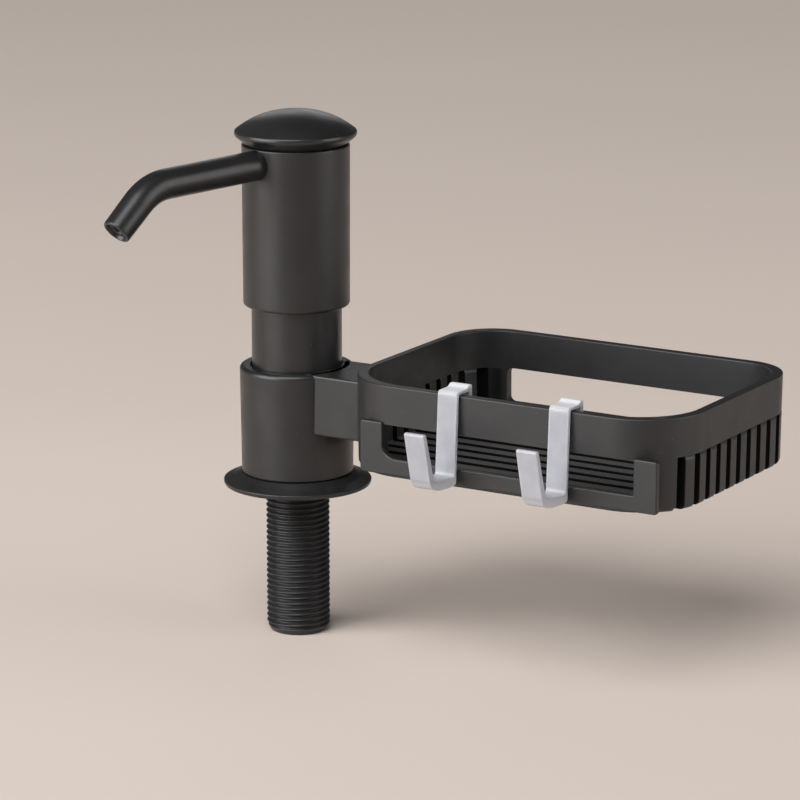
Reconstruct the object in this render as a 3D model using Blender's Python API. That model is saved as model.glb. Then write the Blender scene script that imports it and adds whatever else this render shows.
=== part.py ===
"""Deck-mounted soap pump with a swivelling caddy basket and two clear hooks.

Frame: metres, +Z up. The origin is on the pump's axis at the flange's underside,
which is the top of the counter. +X runs from the pump along the basket's length and
-Y is the front, the side that carries the two hooks.

Pieces, from the counter up: a threaded shank with its flange, a fixed guide sleeve
with the pump engine inside, a sprung hollow stem, and a head (shell, domed cap,
core, spout) that slides over the sleeve and swivels. The basket's ring turns on the
sleeve, and the hooks slide along the basket's front rim.
"""
import math

import bmesh
import bpy
from mathutils import Matrix, Vector

# ---------------------------------------------------------------- clearances
GAP = 0.0003                 # between pieces that touch or are pressed together
RUNNING_GAP = 0.0005         # between pieces that turn or slide on each other

# ---------------------------------------------------------------- fineness
ROUND_LARGE = 48             # sides of the column's outer pieces
ROUND_SMALL = 24             # sides of the small inner pieces
CORNER_STEPS = 8             # steps in each corner of the basket

# ---------------------------------------------------------------- shank and flange
SHANK_LENGTH = 0.0566        # below the counter
THREAD_CREST = 0.0118        # radius
THREAD_DEPTH = 0.0011
THREAD_PITCH = 0.002117      # 12 threads to the inch
THREAD_START = 0.0030        # plain neck under the flange
SHANK_WALL = 0.0021          # under the thread's roots
SHANK_CHAMFER = 0.0014
SHANK_CHAMFER_HEIGHT = 0.0026
FLANGE_LIP = 0.0066          # how far the flange stands out beyond the ring
FLANGE_RIM = 0.0017          # thickness at the rim
FLANGE_RISE = 0.0044         # height of its flat seat
SPIGOT_WALL = 0.0029
SPIGOT_HEIGHT = 0.0200       # top of the spigot above the counter
SHOULDER_HEIGHT = 0.0060     # where the engine's gasket rests
GASKET_MARGIN = 0.0033       # from the flange's rim
GASKET_WIDTH = 0.0050
GASKET_GROOVE_DEPTH = 0.0012

# ---------------------------------------------------------------- guide sleeve
SLEEVE_RADIUS = 0.0166
SLEEVE_WALL = 0.0019
SLEEVE_SHORTFALL = 0.0310    # from the sleeve's top to the head's

# ---------------------------------------------------------------- pump engine
CYLINDER_CLEARANCE = 0.0004  # round the cylinder in the shank's bore
CYLINDER_WALL = 0.0016
CYLINDER_FLOOR = -0.0260     # where the cylinder's straight bore ends
SEAT_BORE = 0.0018           # radius of the inlet below the ball
SEAT_HEIGHT = 0.0069         # height of the conical seat
INLET_RADIUS = 0.0036
INLET_LENGTH = 0.0130
CYLINDER_FLANGE = 0.0021
CYLINDER_GASKET = 0.0009
RETAINER_THICKNESS = 0.0015
RETAINER_BORE = 0.0020
INLET_BALL = 0.0026          # radius
COLLAR_HEAD = 0.0025
STEM_RADIUS = 0.0035
STEM_WALL = 0.0019
STEM_FOOT_LIP = 0.0013
STEM_SHORTFALL = 0.0038      # from the stem's top to the core's plate
PISTON_LENGTH = 0.0076
PISTON_NECK = 0.0006         # how far the stem is cut down under the piston
SPRING_SPACE = 0.0372        # from the collar to the stem's shoulder
SPRING_CLEARANCE = 0.0017    # between the stem and the spring's wire
SPRING_SEAT_LIP = 0.0017     # the shoulder beyond the wire's middle
SPRING_SEAT_THICKNESS = 0.0020
SPRING_WIRE = 0.0005         # radius of the wire
SPRING_TURNS = 8
OUTLET_CUP_WALL = 0.0009
OUTLET_CUP_DEPTH = 0.0050
OUTLET_BALL_CLEARANCE = 0.0005

# ---------------------------------------------------------------- head
HEAD_CLEARANCE = 0.0006      # between the head's bore and the sleeve
HEAD_WALL = 0.0024
HEAD_FLARE = 0.00015         # how much wider the head is at its top
HEAD_LIFT = 0.0225           # the head's lip above the ring, at rest
HEAD_LENGTH = 0.0596
HEAD_EDGE = 0.0013
CORE_RECESS = 0.0007
CORE_THICKNESS = 0.0115
HUB_WALL = 0.0011
HUB_LENGTH = 0.0148
STEM_SEAL_DEPTH = 0.0067     # below the stem's top
STEM_SEAL_SECTION = 0.00065
CAP_OVERHANG = 0.0026
CAP_RECESS = 0.00075         # the neck inside the head's face
CAP_NECK_HEIGHT = 0.0011
CAP_EDGE_RISE = 0.0041       # where the cap is widest, above the head's top
CAP_RISE = 0.0124            # the dome's top above the head's
CAP_PLUG_DEPTH = 0.0007
CAP_PLUG_WALL = 0.0024
CAP_HOLLOW_RISE = 0.0065
CAP_DOME_STEPS = 7

# ---------------------------------------------------------------- spout
SPOUT_HEADING = math.radians(-105.0)   # from +X, seen from above
SPOUT_RADIUS = 0.0054
SPOUT_TIP_TAPER = 0.0004
SPOUT_SPIGOT_STEP = 0.0012   # the end in the head is thinner by this much
SPOUT_SPIGOT_WALL = 0.0009
SPOUT_SPIGOT_DEPTH = 0.0082  # how far that end reaches inside the head's bore
SPOUT_DROP = 0.0056          # its centre line below the head's top, at the axis
SPOUT_FALL = math.radians(1.3)         # slope of the long straight part
SPOUT_STRAIGHT = 0.04255     # from the head's face to the bend
SPOUT_BEND_RADIUS = 0.0205
SPOUT_TIP_FALL = math.radians(41.5)    # slope of the end part
SPOUT_TIP_LENGTH = 0.0138
SPOUT_BEND_STEPS = 8
LINER_LENGTH = 0.0100
LINER_WALL = 0.0016
LINER_RECESS = 0.0012
LINER_SEAT_WALL = 0.0008     # left round the liner at the tip
SPOUT_SEAL_LENGTH = 0.0014

# ---------------------------------------------------------------- basket
ARM_REACH = 0.00947          # from the ring's face to the basket's left wall
RIM_RISE = 0.0032            # the basket's rim above the ring's top
BASKET_LENGTH = 0.1366
BASKET_FRONT = -0.0247
BASKET_WIDTH = 0.1029
BASKET_HEIGHT = 0.0337
BASKET_WALL = 0.00335
CORNER_FRONT = 0.0242
CORNER_REAR = 0.0190
CORNER_THICKENING = 0.0028   # the inner corners are rounder by this much
FLOOR_THICKNESS = 0.0030
WALL_DRAFT = 0.00045         # how far the walls lean in at the bottom
BOTTOM_EDGE = 0.0020
RIM_EDGE = 0.0004
BAND_HEIGHT = 0.0144         # plain band above the slots
SLOT_PITCH = 0.0080
SLOT_WIDTH = 0.0033
SLOT_FIRST = 0.0137          # first slot's middle from the front face
SLOT_END_MARGIN = 0.0060     # solid wall left at the back
WINDOW_SIDE = 0.0163         # solid corner beside the back window
WINDOW_RADIUS = 0.0025
BACK_SILL = 0.0030           # wall left above the floor under the back window

# ---------------------------------------------------------------- front plate
PLATE_LEFT_INSET = 0.0120    # from the basket's left side
PLATE_RIGHT_INSET = 0.0049   # from its right side
PLATE_PROUD = 0.0006
PLATE_THICKNESS = 0.0023
PLATE_LIFT = 0.0016          # above the basket's underside
PLATE_OVERLAP = 0.0009       # over the band's lower edge
PLATE_MARGIN = 0.0092        # width of each pad
PLATE_SILL = 0.0055          # height of the rail
PLATE_CORNER = 0.0010
RAIL_CORNER_LEFT = 0.0034    # inner corner where the left pad meets the rail
RAIL_CORNER_RIGHT = 0.0006

# ---------------------------------------------------------------- ring and arm
RING_WALL = 0.0036           # at its bottom
RING_FLARE = 0.00043         # how much wider the ring is at its top
RING_HEIGHT = 0.0402
RING_EDGE = 0.0015
ARM_HALF_WIDTH = 0.0135
ARM_HEIGHT = 0.0224
ARM_EDGE = 0.0005

# ---------------------------------------------------------------- hooks
HOOK_WIDTH = 0.0080
HOOK_LEFT_INSET = 0.0490     # left hook's middle from the basket's left side
HOOK_RIGHT_INSET = 0.0428    # right hook's middle from its right side
HOOK_STRIP = 0.0015          # thickness of the flat strip
HOOK_LEG = 0.0022            # thickness of the upturned leg
HOOK_LEAN = math.radians(3.4)
HOOK_BRIDGE = 0.0013
HOOK_LIP_RISE = 0.0010       # the inner lip's bead above the bridge
HOOK_LIP_DROP = 0.0080       # how far the lip hangs inside the rim
HOOK_LIP_GAP = 0.0036        # between the rim's inner face and the lip
HOOK_LIP = 0.0018
HOOK_DROP = 0.0320           # rim's top to the lowest point
HOOK_FLOOR = 0.0034
HOOK_REACH = 0.0174          # strip to the leg's foot, outside
HOOK_TIP_RISE = 0.0231       # leg's tip above the lowest point
HOOK_LEG_LEAN = math.radians(12.9)

# ---------------------------------------------------------------- worked out
SLEEVE_BORE = SLEEVE_RADIUS - SLEEVE_WALL
SPIGOT_OUTER = SLEEVE_BORE - GAP
SPIGOT_BORE = SPIGOT_OUTER - SPIGOT_WALL
SHANK_BORE = THREAD_CREST - THREAD_DEPTH - SHANK_WALL
RING_BORE = SLEEVE_RADIUS + RUNNING_GAP
RING_RADIUS_BOTTOM = RING_BORE + RING_WALL
RING_RADIUS_TOP = RING_RADIUS_BOTTOM + RING_FLARE
RING_BOTTOM = FLANGE_RISE + GAP
RING_TOP = RING_BOTTOM + RING_HEIGHT
ARM_BOTTOM = RING_TOP - ARM_HEIGHT
FLANGE_RADIUS = RING_RADIUS_BOTTOM + FLANGE_LIP
GASKET_GROOVE_OUTER = FLANGE_RADIUS - GASKET_MARGIN
GASKET_GROOVE_INNER = GASKET_GROOVE_OUTER - GASKET_WIDTH
HEAD_BORE = SLEEVE_RADIUS + HEAD_CLEARANCE
HEAD_RADIUS_BOTTOM = HEAD_BORE + HEAD_WALL
HEAD_RADIUS_TOP = HEAD_RADIUS_BOTTOM + HEAD_FLARE
HEAD_BOTTOM = RING_TOP + HEAD_LIFT
HEAD_TOP = HEAD_BOTTOM + HEAD_LENGTH
SLEEVE_TOP = HEAD_TOP - SLEEVE_SHORTFALL
CORE_TOP = HEAD_TOP - CORE_RECESS
CORE_BOTTOM = CORE_TOP - CORE_THICKNESS
HUB_BOTTOM = CORE_BOTTOM - HUB_LENGTH
HUB_RADIUS = STEM_RADIUS + 2 * GAP + 2 * STEM_SEAL_SECTION + HUB_WALL
CAP_RADIUS = HEAD_RADIUS_TOP + CAP_OVERHANG
CAP_NECK = HEAD_RADIUS_TOP - CAP_RECESS
CAP_NECK_TOP = HEAD_TOP + CAP_NECK_HEIGHT
CAP_EDGE_HEIGHT = HEAD_TOP + CAP_EDGE_RISE
CAP_APEX = HEAD_TOP + CAP_RISE
CAP_HOLLOW_TOP = HEAD_TOP + CAP_HOLLOW_RISE
CAP_HOLLOW_RADIUS = HEAD_BORE - GAP - CAP_PLUG_WALL
CYLINDER_RADIUS = SHANK_BORE - CYLINDER_CLEARANCE
CYLINDER_BORE = CYLINDER_RADIUS - CYLINDER_WALL
ENGINE_RADIUS = SPIGOT_BORE - GAP
GASKET_BASE = SHOULDER_HEIGHT + GAP
CYLINDER_FLANGE_BASE = GASKET_BASE + CYLINDER_GASKET + GAP
COLLAR_BASE = CYLINDER_FLANGE_BASE + CYLINDER_FLANGE + GAP
COLLAR_SEAT = SPIGOT_HEIGHT + GAP
COLLAR_TOP = COLLAR_SEAT + COLLAR_HEAD
PISTON_BASE = COLLAR_BASE - GAP - PISTON_LENGTH     # the collar is the plunger's upper stop
CONE_SLOPE = math.atan2(CYLINDER_BORE - SEAT_BORE, SEAT_HEIGHT)
SEAT_BOTTOM = CYLINDER_FLOOR - SEAT_HEIGHT
SEAT_APEX = SEAT_BOTTOM - SEAT_BORE / math.tan(CONE_SLOPE)
INLET_BALL_HEIGHT = SEAT_APEX + (INLET_BALL + GAP) / math.sin(CONE_SLOPE)
RETAINER_BASE = CYLINDER_FLOOR + 2 * GAP
STEM_BORE = STEM_RADIUS - STEM_WALL
STEM_FOOT = STEM_RADIUS + STEM_FOOT_LIP
STEM_TOP = CORE_BOTTOM - STEM_SHORTFALL
STEM_SEAL_HEIGHT = STEM_TOP - STEM_SEAL_DEPTH
SPRING_RADIUS = STEM_RADIUS + SPRING_CLEARANCE + SPRING_WIRE
SPRING_SEAT_RADIUS = SPRING_RADIUS + SPRING_SEAT_LIP
SPRING_SEAT_HEIGHT = COLLAR_TOP + SPRING_SPACE
OUTLET_CUP = STEM_RADIUS - OUTLET_CUP_WALL
OUTLET_BALL = OUTLET_CUP - OUTLET_BALL_CLEARANCE
GALLERY_RADIUS = OUTLET_BALL - 0.0004               # smaller than the ball, so it can't pass
CUP_FLOOR = STEM_TOP - OUTLET_CUP_DEPTH
OUTLET_BALL_HEIGHT = CUP_FLOOR + math.sqrt((OUTLET_BALL + GAP) ** 2 - STEM_BORE ** 2)
SPOUT_DIRECTION = Vector((math.cos(SPOUT_HEADING), math.sin(SPOUT_HEADING), 0.0))
SPOUT_ROOT_HEIGHT = HEAD_TOP - SPOUT_DROP
SPOUT_BEND_START = HEAD_RADIUS_TOP + SPOUT_STRAIGHT
SPOUT_TIP_RADIUS = SPOUT_RADIUS - SPOUT_TIP_TAPER
SPIGOT_RADIUS = SPOUT_RADIUS - SPOUT_SPIGOT_STEP
SPIGOT_INNER = HEAD_BORE - SPOUT_SPIGOT_DEPTH
SPOUT_BORE = SPIGOT_RADIUS - SPOUT_SPIGOT_WALL
LINER_SEAT = SPOUT_TIP_RADIUS - LINER_SEAT_WALL
BASKET_LEFT = RING_RADIUS_TOP + ARM_REACH
BASKET_RIGHT = BASKET_LEFT + BASKET_LENGTH
BASKET_BACK = BASKET_FRONT + BASKET_WIDTH
BASKET_TOP = RING_TOP + RIM_RISE
BASKET_BOTTOM = BASKET_TOP - BASKET_HEIGHT
FLOOR_TOP = BASKET_BOTTOM + FLOOR_THICKNESS
BAND_BOTTOM = BASKET_TOP - BAND_HEIGHT
PLATE_LEFT = BASKET_LEFT + PLATE_LEFT_INSET
PLATE_RIGHT = BASKET_RIGHT - PLATE_RIGHT_INSET
PLATE_BOTTOM = BASKET_BOTTOM + PLATE_LIFT
PLATE_TOP = BAND_BOTTOM + PLATE_OVERLAP
HOOK_CENTRES = {
    "hook_left": BASKET_LEFT + HOOK_LEFT_INSET,
    "hook_right": BASKET_RIGHT - HOOK_RIGHT_INSET,
}


# ---------------------------------------------------------------- tools
def material(name, colour, roughness, metallic=0.0, transmission=0.0):
    """A Principled material."""
    made = bpy.data.materials.new(name)
    made.use_nodes = True
    made.diffuse_color = (*colour, 1.0)
    shader = made.node_tree.nodes["Principled BSDF"]
    shader.inputs["Base Color"].default_value = (*colour, 1.0)
    shader.inputs["Roughness"].default_value = roughness
    shader.inputs["Metallic"].default_value = metallic
    shader.inputs["Transmission Weight"].default_value = transmission
    return made


def link(name, mesh, finish, location=(0.0, 0.0, 0.0)):
    """Put a mesh into the scene as a named object."""
    piece = bpy.data.objects.new(name, mesh)
    piece.location = location
    bpy.context.scene.collection.objects.link(piece)
    if finish is not None and not mesh.materials:
        mesh.materials.append(finish)
    return piece


def finish_mesh(name, shape, smooth=True):
    """Close a bmesh: outward faces, round parts shaded smooth."""
    bmesh.ops.recalc_face_normals(shape, faces=shape.faces)
    mesh = bpy.data.meshes.new(name)
    shape.to_mesh(mesh)
    shape.free()
    if smooth:
        mesh.shade_smooth()
        mesh.set_sharp_from_angle(angle=math.radians(32.0))
    return mesh


def arc(centre_a, centre_b, radius, start, end, steps):
    """Points of an arc in a plane, from angle start to angle end in degrees."""
    points = []
    for step in range(steps + 1):
        angle = math.radians(start + (end - start) * step / steps)
        points.append((centre_a + radius * math.cos(angle), centre_b + radius * math.sin(angle)))
    return points


def turned_mesh(name, profile, sides):
    """Turn a closed outline of (radius, height) points about the Z axis."""
    shape = bmesh.new()
    rings = []
    for radius, height in profile:
        if radius < 1e-9:
            rings.append([shape.verts.new((0.0, 0.0, height))])
            continue
        ring = []
        for side in range(sides):
            angle = 2.0 * math.pi * side / sides
            ring.append(shape.verts.new((radius * math.cos(angle), radius * math.sin(angle), height)))
        rings.append(ring)
    for index, ring in enumerate(rings):
        other = rings[(index + 1) % len(rings)]
        if len(ring) == 1 and len(other) == 1:
            continue
        for side in range(sides):
            follow = (side + 1) % sides
            if len(ring) == 1:
                shape.faces.new((ring[0], other[side], other[follow]))
            elif len(other) == 1:
                shape.faces.new((ring[side], ring[follow], other[0]))
            else:
                shape.faces.new((ring[side], ring[follow], other[follow], other[side]))
    return finish_mesh(name, shape)


def turned(name, profile, finish, sides=ROUND_LARGE):
    """A turned piece on the pump's axis."""
    return link(name, turned_mesh(name, profile, sides), finish)


def stacked_mesh(name, loops):
    """Join closed loops of equal length one above another and cap both ends."""
    shape = bmesh.new()
    rings = [[shape.verts.new(point) for point in loop] for loop in loops]
    count = len(rings[0])
    for lower, upper in zip(rings, rings[1:]):
        for index in range(count):
            follow = (index + 1) % count
            shape.faces.new((lower[index], lower[follow], upper[follow], upper[index]))
    shape.faces.new(list(reversed(rings[0])))
    shape.faces.new(rings[-1])
    return finish_mesh(name, shape)


def hidden(piece):
    """Mark a cutter, which isn't part of the object."""
    piece.hide_render = True
    piece.display_type = "WIRE"
    return piece


def combine(piece, other, operation):
    """Cut, join or intersect a piece with another mesh."""
    hidden(other)
    change = piece.modifiers.new(operation.lower(), "BOOLEAN")
    change.operation = operation
    change.solver = "EXACT"
    change.object = other


def box(name, low, high):
    """A plain block between two corners, used to cut."""
    shape = bmesh.new()
    size = [b - a for a, b in zip(low, high)]
    middle = Vector([(a + b) / 2.0 for a, b in zip(low, high)])
    place = Matrix.Translation(middle) @ Matrix.Diagonal((*size, 1.0))
    bmesh.ops.create_cube(shape, size=1.0, matrix=place)
    return link(name, finish_mesh(name, shape, smooth=False), None)


def prism(name, outline, low, high, axis):
    """A closed outline carried along an axis between two positions."""
    loops = []
    for position in (low, high):
        loop = []
        for first, second in outline:
            if axis == "Y":
                loop.append((first, position, second))
            elif axis == "X":
                loop.append((position, first, second))
            else:
                loop.append((first, second, position))
        loops.append(loop)
    return stacked_mesh(name, loops)


def rounded_outline(x_low, x_high, y_low, y_high, radii, steps=CORNER_STEPS):
    """Rectangle with rounded corners; radii run from low-low round anticlockwise."""
    corner_low, corner_right, corner_far, corner_left = radii
    points = arc(x_low + corner_low, y_low + corner_low, corner_low, 180, 270, steps)
    points += arc(x_high - corner_right, y_low + corner_right, corner_right, 270, 360, steps)
    points += arc(x_high - corner_far, y_high - corner_far, corner_far, 0, 90, steps)
    points += arc(x_low + corner_left, y_high - corner_left, corner_left, 90, 180, steps)
    return points


# ---------------------------------------------------------------- the fixed body
def thread_core(name):
    """A long screw, its crests and roots each a helix with one turn per pitch."""
    sides = ROUND_SMALL + 4
    turns = int(SHANK_LENGTH / THREAD_PITCH) + 3
    shape = bmesh.new()
    start = -SHANK_LENGTH - 1.37 * THREAD_PITCH
    columns = []
    for step in range(sides * turns + 1):
        angle = 2.0 * math.pi * (step + 0.37) / sides
        height = start + THREAD_PITCH * step / sides
        pair = []
        for radius, rise in ((THREAD_CREST - THREAD_DEPTH, 0.0), (THREAD_CREST, THREAD_PITCH / 2.0)):
            pair.append(shape.verts.new((radius * math.cos(angle), radius * math.sin(angle), height + rise)))
        columns.append(pair)
    for index in range(len(columns) - 1):
        here, there = columns[index], columns[index + 1]
        shape.faces.new((here[0], there[0], there[1], here[1]))
        if index + sides + 1 < len(columns):
            above, beyond = columns[index + sides], columns[index + sides + 1]
            shape.faces.new((here[1], there[1], beyond[0], above[0]))
    low_centre = shape.verts.new((0.0, 0.0, start))
    high_centre = shape.verts.new((0.0, 0.0, start + THREAD_PITCH * (turns + 0.5)))
    for index in range(sides):
        shape.faces.new((low_centre, columns[index + 1][0], columns[index][0]))
        last = len(columns) - 1 - sides + index
        shape.faces.new((high_centre, columns[last][1], columns[last + 1][1]))
    shape.faces.new((low_centre, columns[0][0], columns[0][1], columns[sides][0]))
    shape.faces.new((high_centre, columns[-1][1], columns[-1][0], columns[-1 - sides][1]))
    return link(name, finish_mesh(name, shape), None)


def make_shank(finish):
    """Threaded shank, flange and inner spigot, moulded in one piece."""
    thread_bottom = -SHANK_LENGTH
    shank = turned("threaded_shank", [
        (0.0, thread_bottom),
        (THREAD_CREST - SHANK_CHAMFER, thread_bottom),
        (THREAD_CREST + 0.5 * SHANK_CHAMFER, thread_bottom + 1.5 * SHANK_CHAMFER_HEIGHT),
        (THREAD_CREST + 0.5 * SHANK_CHAMFER, -THREAD_START),
        (0.0, -THREAD_START),
    ], finish)
    combine(shank, thread_core("thread_form"), "INTERSECT")
    neck = THREAD_CREST - THREAD_DEPTH / 2.0
    dome_start = RING_RADIUS_BOTTOM + GAP
    upper = turned("flange_form", [
        (0.0, -THREAD_START - THREAD_PITCH / 2.0),
        (neck, -THREAD_START - THREAD_PITCH / 2.0),
        (neck, 0.0),
        (GASKET_GROOVE_INNER, 0.0),
        (GASKET_GROOVE_INNER, GASKET_GROOVE_DEPTH),
        (GASKET_GROOVE_OUTER, GASKET_GROOVE_DEPTH),
        (GASKET_GROOVE_OUTER, 0.0),
        (FLANGE_RADIUS - 0.3 * FLANGE_RIM, 0.0),
        (FLANGE_RADIUS, 0.3 * FLANGE_RIM),
        (FLANGE_RADIUS - 0.1 * FLANGE_RIM, 0.7 * FLANGE_RIM),
        (FLANGE_RADIUS - 0.6 * FLANGE_RIM, FLANGE_RIM),
        (0.5 * (FLANGE_RADIUS + dome_start), FLANGE_RIM + 0.55 * (FLANGE_RISE - FLANGE_RIM)),
        (dome_start, FLANGE_RISE),
        (SPIGOT_OUTER, FLANGE_RISE),
        (SPIGOT_OUTER, SPIGOT_HEIGHT),
        (0.0, SPIGOT_HEIGHT),
    ], None)
    combine(shank, upper, "UNION")
    bore = turned("shank_bore", [
        (0.0, -SHANK_LENGTH - 0.001),
        (SHANK_BORE, -SHANK_LENGTH - 0.001),
        (SHANK_BORE, SHOULDER_HEIGHT),
        (SPIGOT_BORE, SHOULDER_HEIGHT),
        (SPIGOT_BORE, SPIGOT_HEIGHT + 0.001),
        (0.0, SPIGOT_HEIGHT + 0.001),
    ], None)
    combine(shank, bore, "DIFFERENCE")


def tube_profile(inner, outer, bottom, top):
    """Outline of a plain ring or tube."""
    return [(inner, bottom), (outer, bottom), (outer, top), (inner, top)]


def make_fixed_body(black, rubber, clear, steel):
    """Everything that stays still on the counter."""
    make_shank(black)
    turned("flange_gasket", tube_profile(
        GASKET_GROOVE_INNER + GAP, GASKET_GROOVE_OUTER - GAP, 0.0, GASKET_GROOVE_DEPTH - GAP), rubber)
    sleeve_bottom = FLANGE_RISE + GAP
    turned("guide_sleeve", [
        (SLEEVE_BORE, sleeve_bottom), (SLEEVE_RADIUS, sleeve_bottom),
        (SLEEVE_RADIUS, SLEEVE_TOP - 0.0006), (SLEEVE_RADIUS - 0.0006, SLEEVE_TOP),
        (SLEEVE_BORE, SLEEVE_TOP),
    ], black)
    turned("cylinder_gasket", tube_profile(
        CYLINDER_RADIUS + GAP, ENGINE_RADIUS, GASKET_BASE, GASKET_BASE + CYLINDER_GASKET), rubber, ROUND_SMALL)
    flange_top = CYLINDER_FLANGE_BASE + CYLINDER_FLANGE
    inlet_end = SEAT_BOTTOM - INLET_LENGTH
    turned("pump_cylinder", [
        (CYLINDER_BORE, flange_top), (CYLINDER_BORE, CYLINDER_FLOOR), (SEAT_BORE, SEAT_BOTTOM),
        (SEAT_BORE, inlet_end), (INLET_RADIUS, inlet_end),
        (INLET_RADIUS, SEAT_BOTTOM - CYLINDER_WALL), (CYLINDER_RADIUS, CYLINDER_FLOOR - CYLINDER_WALL),
        (CYLINDER_RADIUS, CYLINDER_FLANGE_BASE), (ENGINE_RADIUS, CYLINDER_FLANGE_BASE),
        (ENGINE_RADIUS, flange_top),
    ], clear, ROUND_SMALL)
    stem_clear = STEM_RADIUS + RUNNING_GAP
    turned("lock_collar", [
        (stem_clear, COLLAR_BASE), (ENGINE_RADIUS, COLLAR_BASE), (ENGINE_RADIUS, COLLAR_SEAT),
        (SLEEVE_BORE - GAP, COLLAR_SEAT), (SLEEVE_BORE - GAP, COLLAR_TOP), (stem_clear, COLLAR_TOP),
    ], clear, ROUND_SMALL)
    turned("ball_retainer", tube_profile(
        RETAINER_BORE, CYLINDER_BORE - GAP, RETAINER_BASE, RETAINER_BASE + RETAINER_THICKNESS),
        clear, ROUND_SMALL)
    ball("inlet_ball", INLET_BALL, INLET_BALL_HEIGHT, steel)


def ball(name, radius, height, finish):
    """A valve ball, its centre on the axis."""
    shape = bmesh.new()
    bmesh.ops.create_uvsphere(shape, u_segments=14, v_segments=8, radius=radius)
    link(name, finish_mesh(name, shape), finish, (0.0, 0.0, height))


# ---------------------------------------------------------------- the plunger
def make_plunger(clear, rubber, steel, carrier):
    """Hollow stem with its piston, seal and return spring."""
    piston_seat = STEM_RADIUS - PISTON_NECK
    piston_top = PISTON_BASE + PISTON_LENGTH
    foot_top = PISTON_BASE - GAP
    pieces = [turned("pump_stem", [
        (STEM_BORE, foot_top - 0.0023), (STEM_FOOT, foot_top - 0.0023), (STEM_FOOT, foot_top),
        (piston_seat, foot_top), (piston_seat, piston_top + GAP), (STEM_RADIUS, piston_top + GAP),
        (STEM_RADIUS, SPRING_SEAT_HEIGHT), (SPRING_SEAT_RADIUS, SPRING_SEAT_HEIGHT),
        (SPRING_SEAT_RADIUS, SPRING_SEAT_HEIGHT + SPRING_SEAT_THICKNESS),
        (STEM_RADIUS, SPRING_SEAT_HEIGHT + SPRING_SEAT_THICKNESS), (STEM_RADIUS, STEM_TOP),
        (OUTLET_CUP, STEM_TOP), (OUTLET_CUP, CUP_FLOOR), (STEM_BORE, CUP_FLOOR),
    ], clear, ROUND_SMALL)]
    lip = 0.0008
    pieces.append(turned("piston_seal", [
        (piston_seat + GAP, PISTON_BASE), (CYLINDER_BORE - GAP - lip, PISTON_BASE),
        (CYLINDER_BORE - GAP, PISTON_BASE + lip), (CYLINDER_BORE - GAP - lip, PISTON_BASE + 2 * lip),
        (CYLINDER_BORE - GAP - lip, piston_top - 2 * lip), (CYLINDER_BORE - GAP, piston_top - lip),
        (CYLINDER_BORE - GAP - lip, piston_top), (piston_seat + GAP, piston_top),
    ], rubber, ROUND_SMALL))
    pieces.append(make_spring(steel))
    for piece in pieces:
        piece.parent = carrier


def make_spring(finish):
    """Round-wire compression spring between the collar and the stem's shoulder."""
    low = COLLAR_TOP + GAP + SPRING_WIRE
    high = SPRING_SEAT_HEIGHT - GAP - SPRING_WIRE
    per_turn = 14
    around = 6
    steps = SPRING_TURNS * per_turn
    shape = bmesh.new()
    rings = []
    for step in range(steps + 1):
        angle = 2.0 * math.pi * step / per_turn
        outward = Vector((math.cos(angle), math.sin(angle), 0.0))
        centre = outward * SPRING_RADIUS + Vector((0.0, 0.0, low + (high - low) * step / steps))
        ring = []
        for side in range(around):
            turn = 2.0 * math.pi * side / around
            offset = outward * math.cos(turn) + Vector((0.0, 0.0, math.sin(turn)))
            ring.append(shape.verts.new(centre + offset * SPRING_WIRE))
        rings.append(ring)
    for here, there in zip(rings, rings[1:]):
        for side in range(around):
            follow = (side + 1) % around
            shape.faces.new((here[side], here[follow], there[follow], there[side]))
    shape.faces.new(list(reversed(rings[0])))
    shape.faces.new(rings[-1])
    return link("return_spring", finish_mesh("return_spring", shape), finish)


# ---------------------------------------------------------------- the head
def spout_stations(start):
    """Centre points and directions along the spout, from `start` to the tip."""
    def at(distance, height, fall):
        point = SPOUT_DIRECTION * distance + Vector((0.0, 0.0, height))
        heading = SPOUT_DIRECTION * math.cos(fall) - Vector((0.0, 0.0, math.sin(fall)))
        return point, heading

    stations = []
    for distance in (start, 0.5 * (start + SPOUT_BEND_START)):
        stations.append(at(distance, SPOUT_ROOT_HEIGHT - distance * math.tan(SPOUT_FALL), SPOUT_FALL))
    height = SPOUT_ROOT_HEIGHT - SPOUT_BEND_START * math.tan(SPOUT_FALL)
    for step in range(SPOUT_BEND_STEPS + 1):
        fall = SPOUT_FALL + (SPOUT_TIP_FALL - SPOUT_FALL) * step / SPOUT_BEND_STEPS
        along = SPOUT_BEND_START + SPOUT_BEND_RADIUS * (math.sin(fall) - math.sin(SPOUT_FALL))
        drop = SPOUT_BEND_RADIUS * (math.cos(SPOUT_FALL) - math.cos(fall))
        stations.append(at(along, height - drop, fall))
    point, heading = stations[-1]
    stations.append((point + heading * SPOUT_TIP_LENGTH, heading))
    return stations


def swept(name, stations, radii, finish, sides=ROUND_SMALL):
    """A round rod through the stations, with one radius for each."""
    across = Vector((-SPOUT_DIRECTION.y, SPOUT_DIRECTION.x, 0.0))
    loops = []
    for (point, heading), radius in zip(stations, radii):
        upward = across.cross(heading)
        loop = []
        for side in range(sides):
            turn = 2.0 * math.pi * side / sides
            loop.append(point + (across * math.cos(turn) + upward * math.sin(turn)) * radius)
        loops.append(loop)
    return link(name, stacked_mesh(name, loops), finish)


def beyond(station, distance):
    """A station moved along its own direction."""
    point, heading = station
    return point + heading * distance, heading


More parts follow.
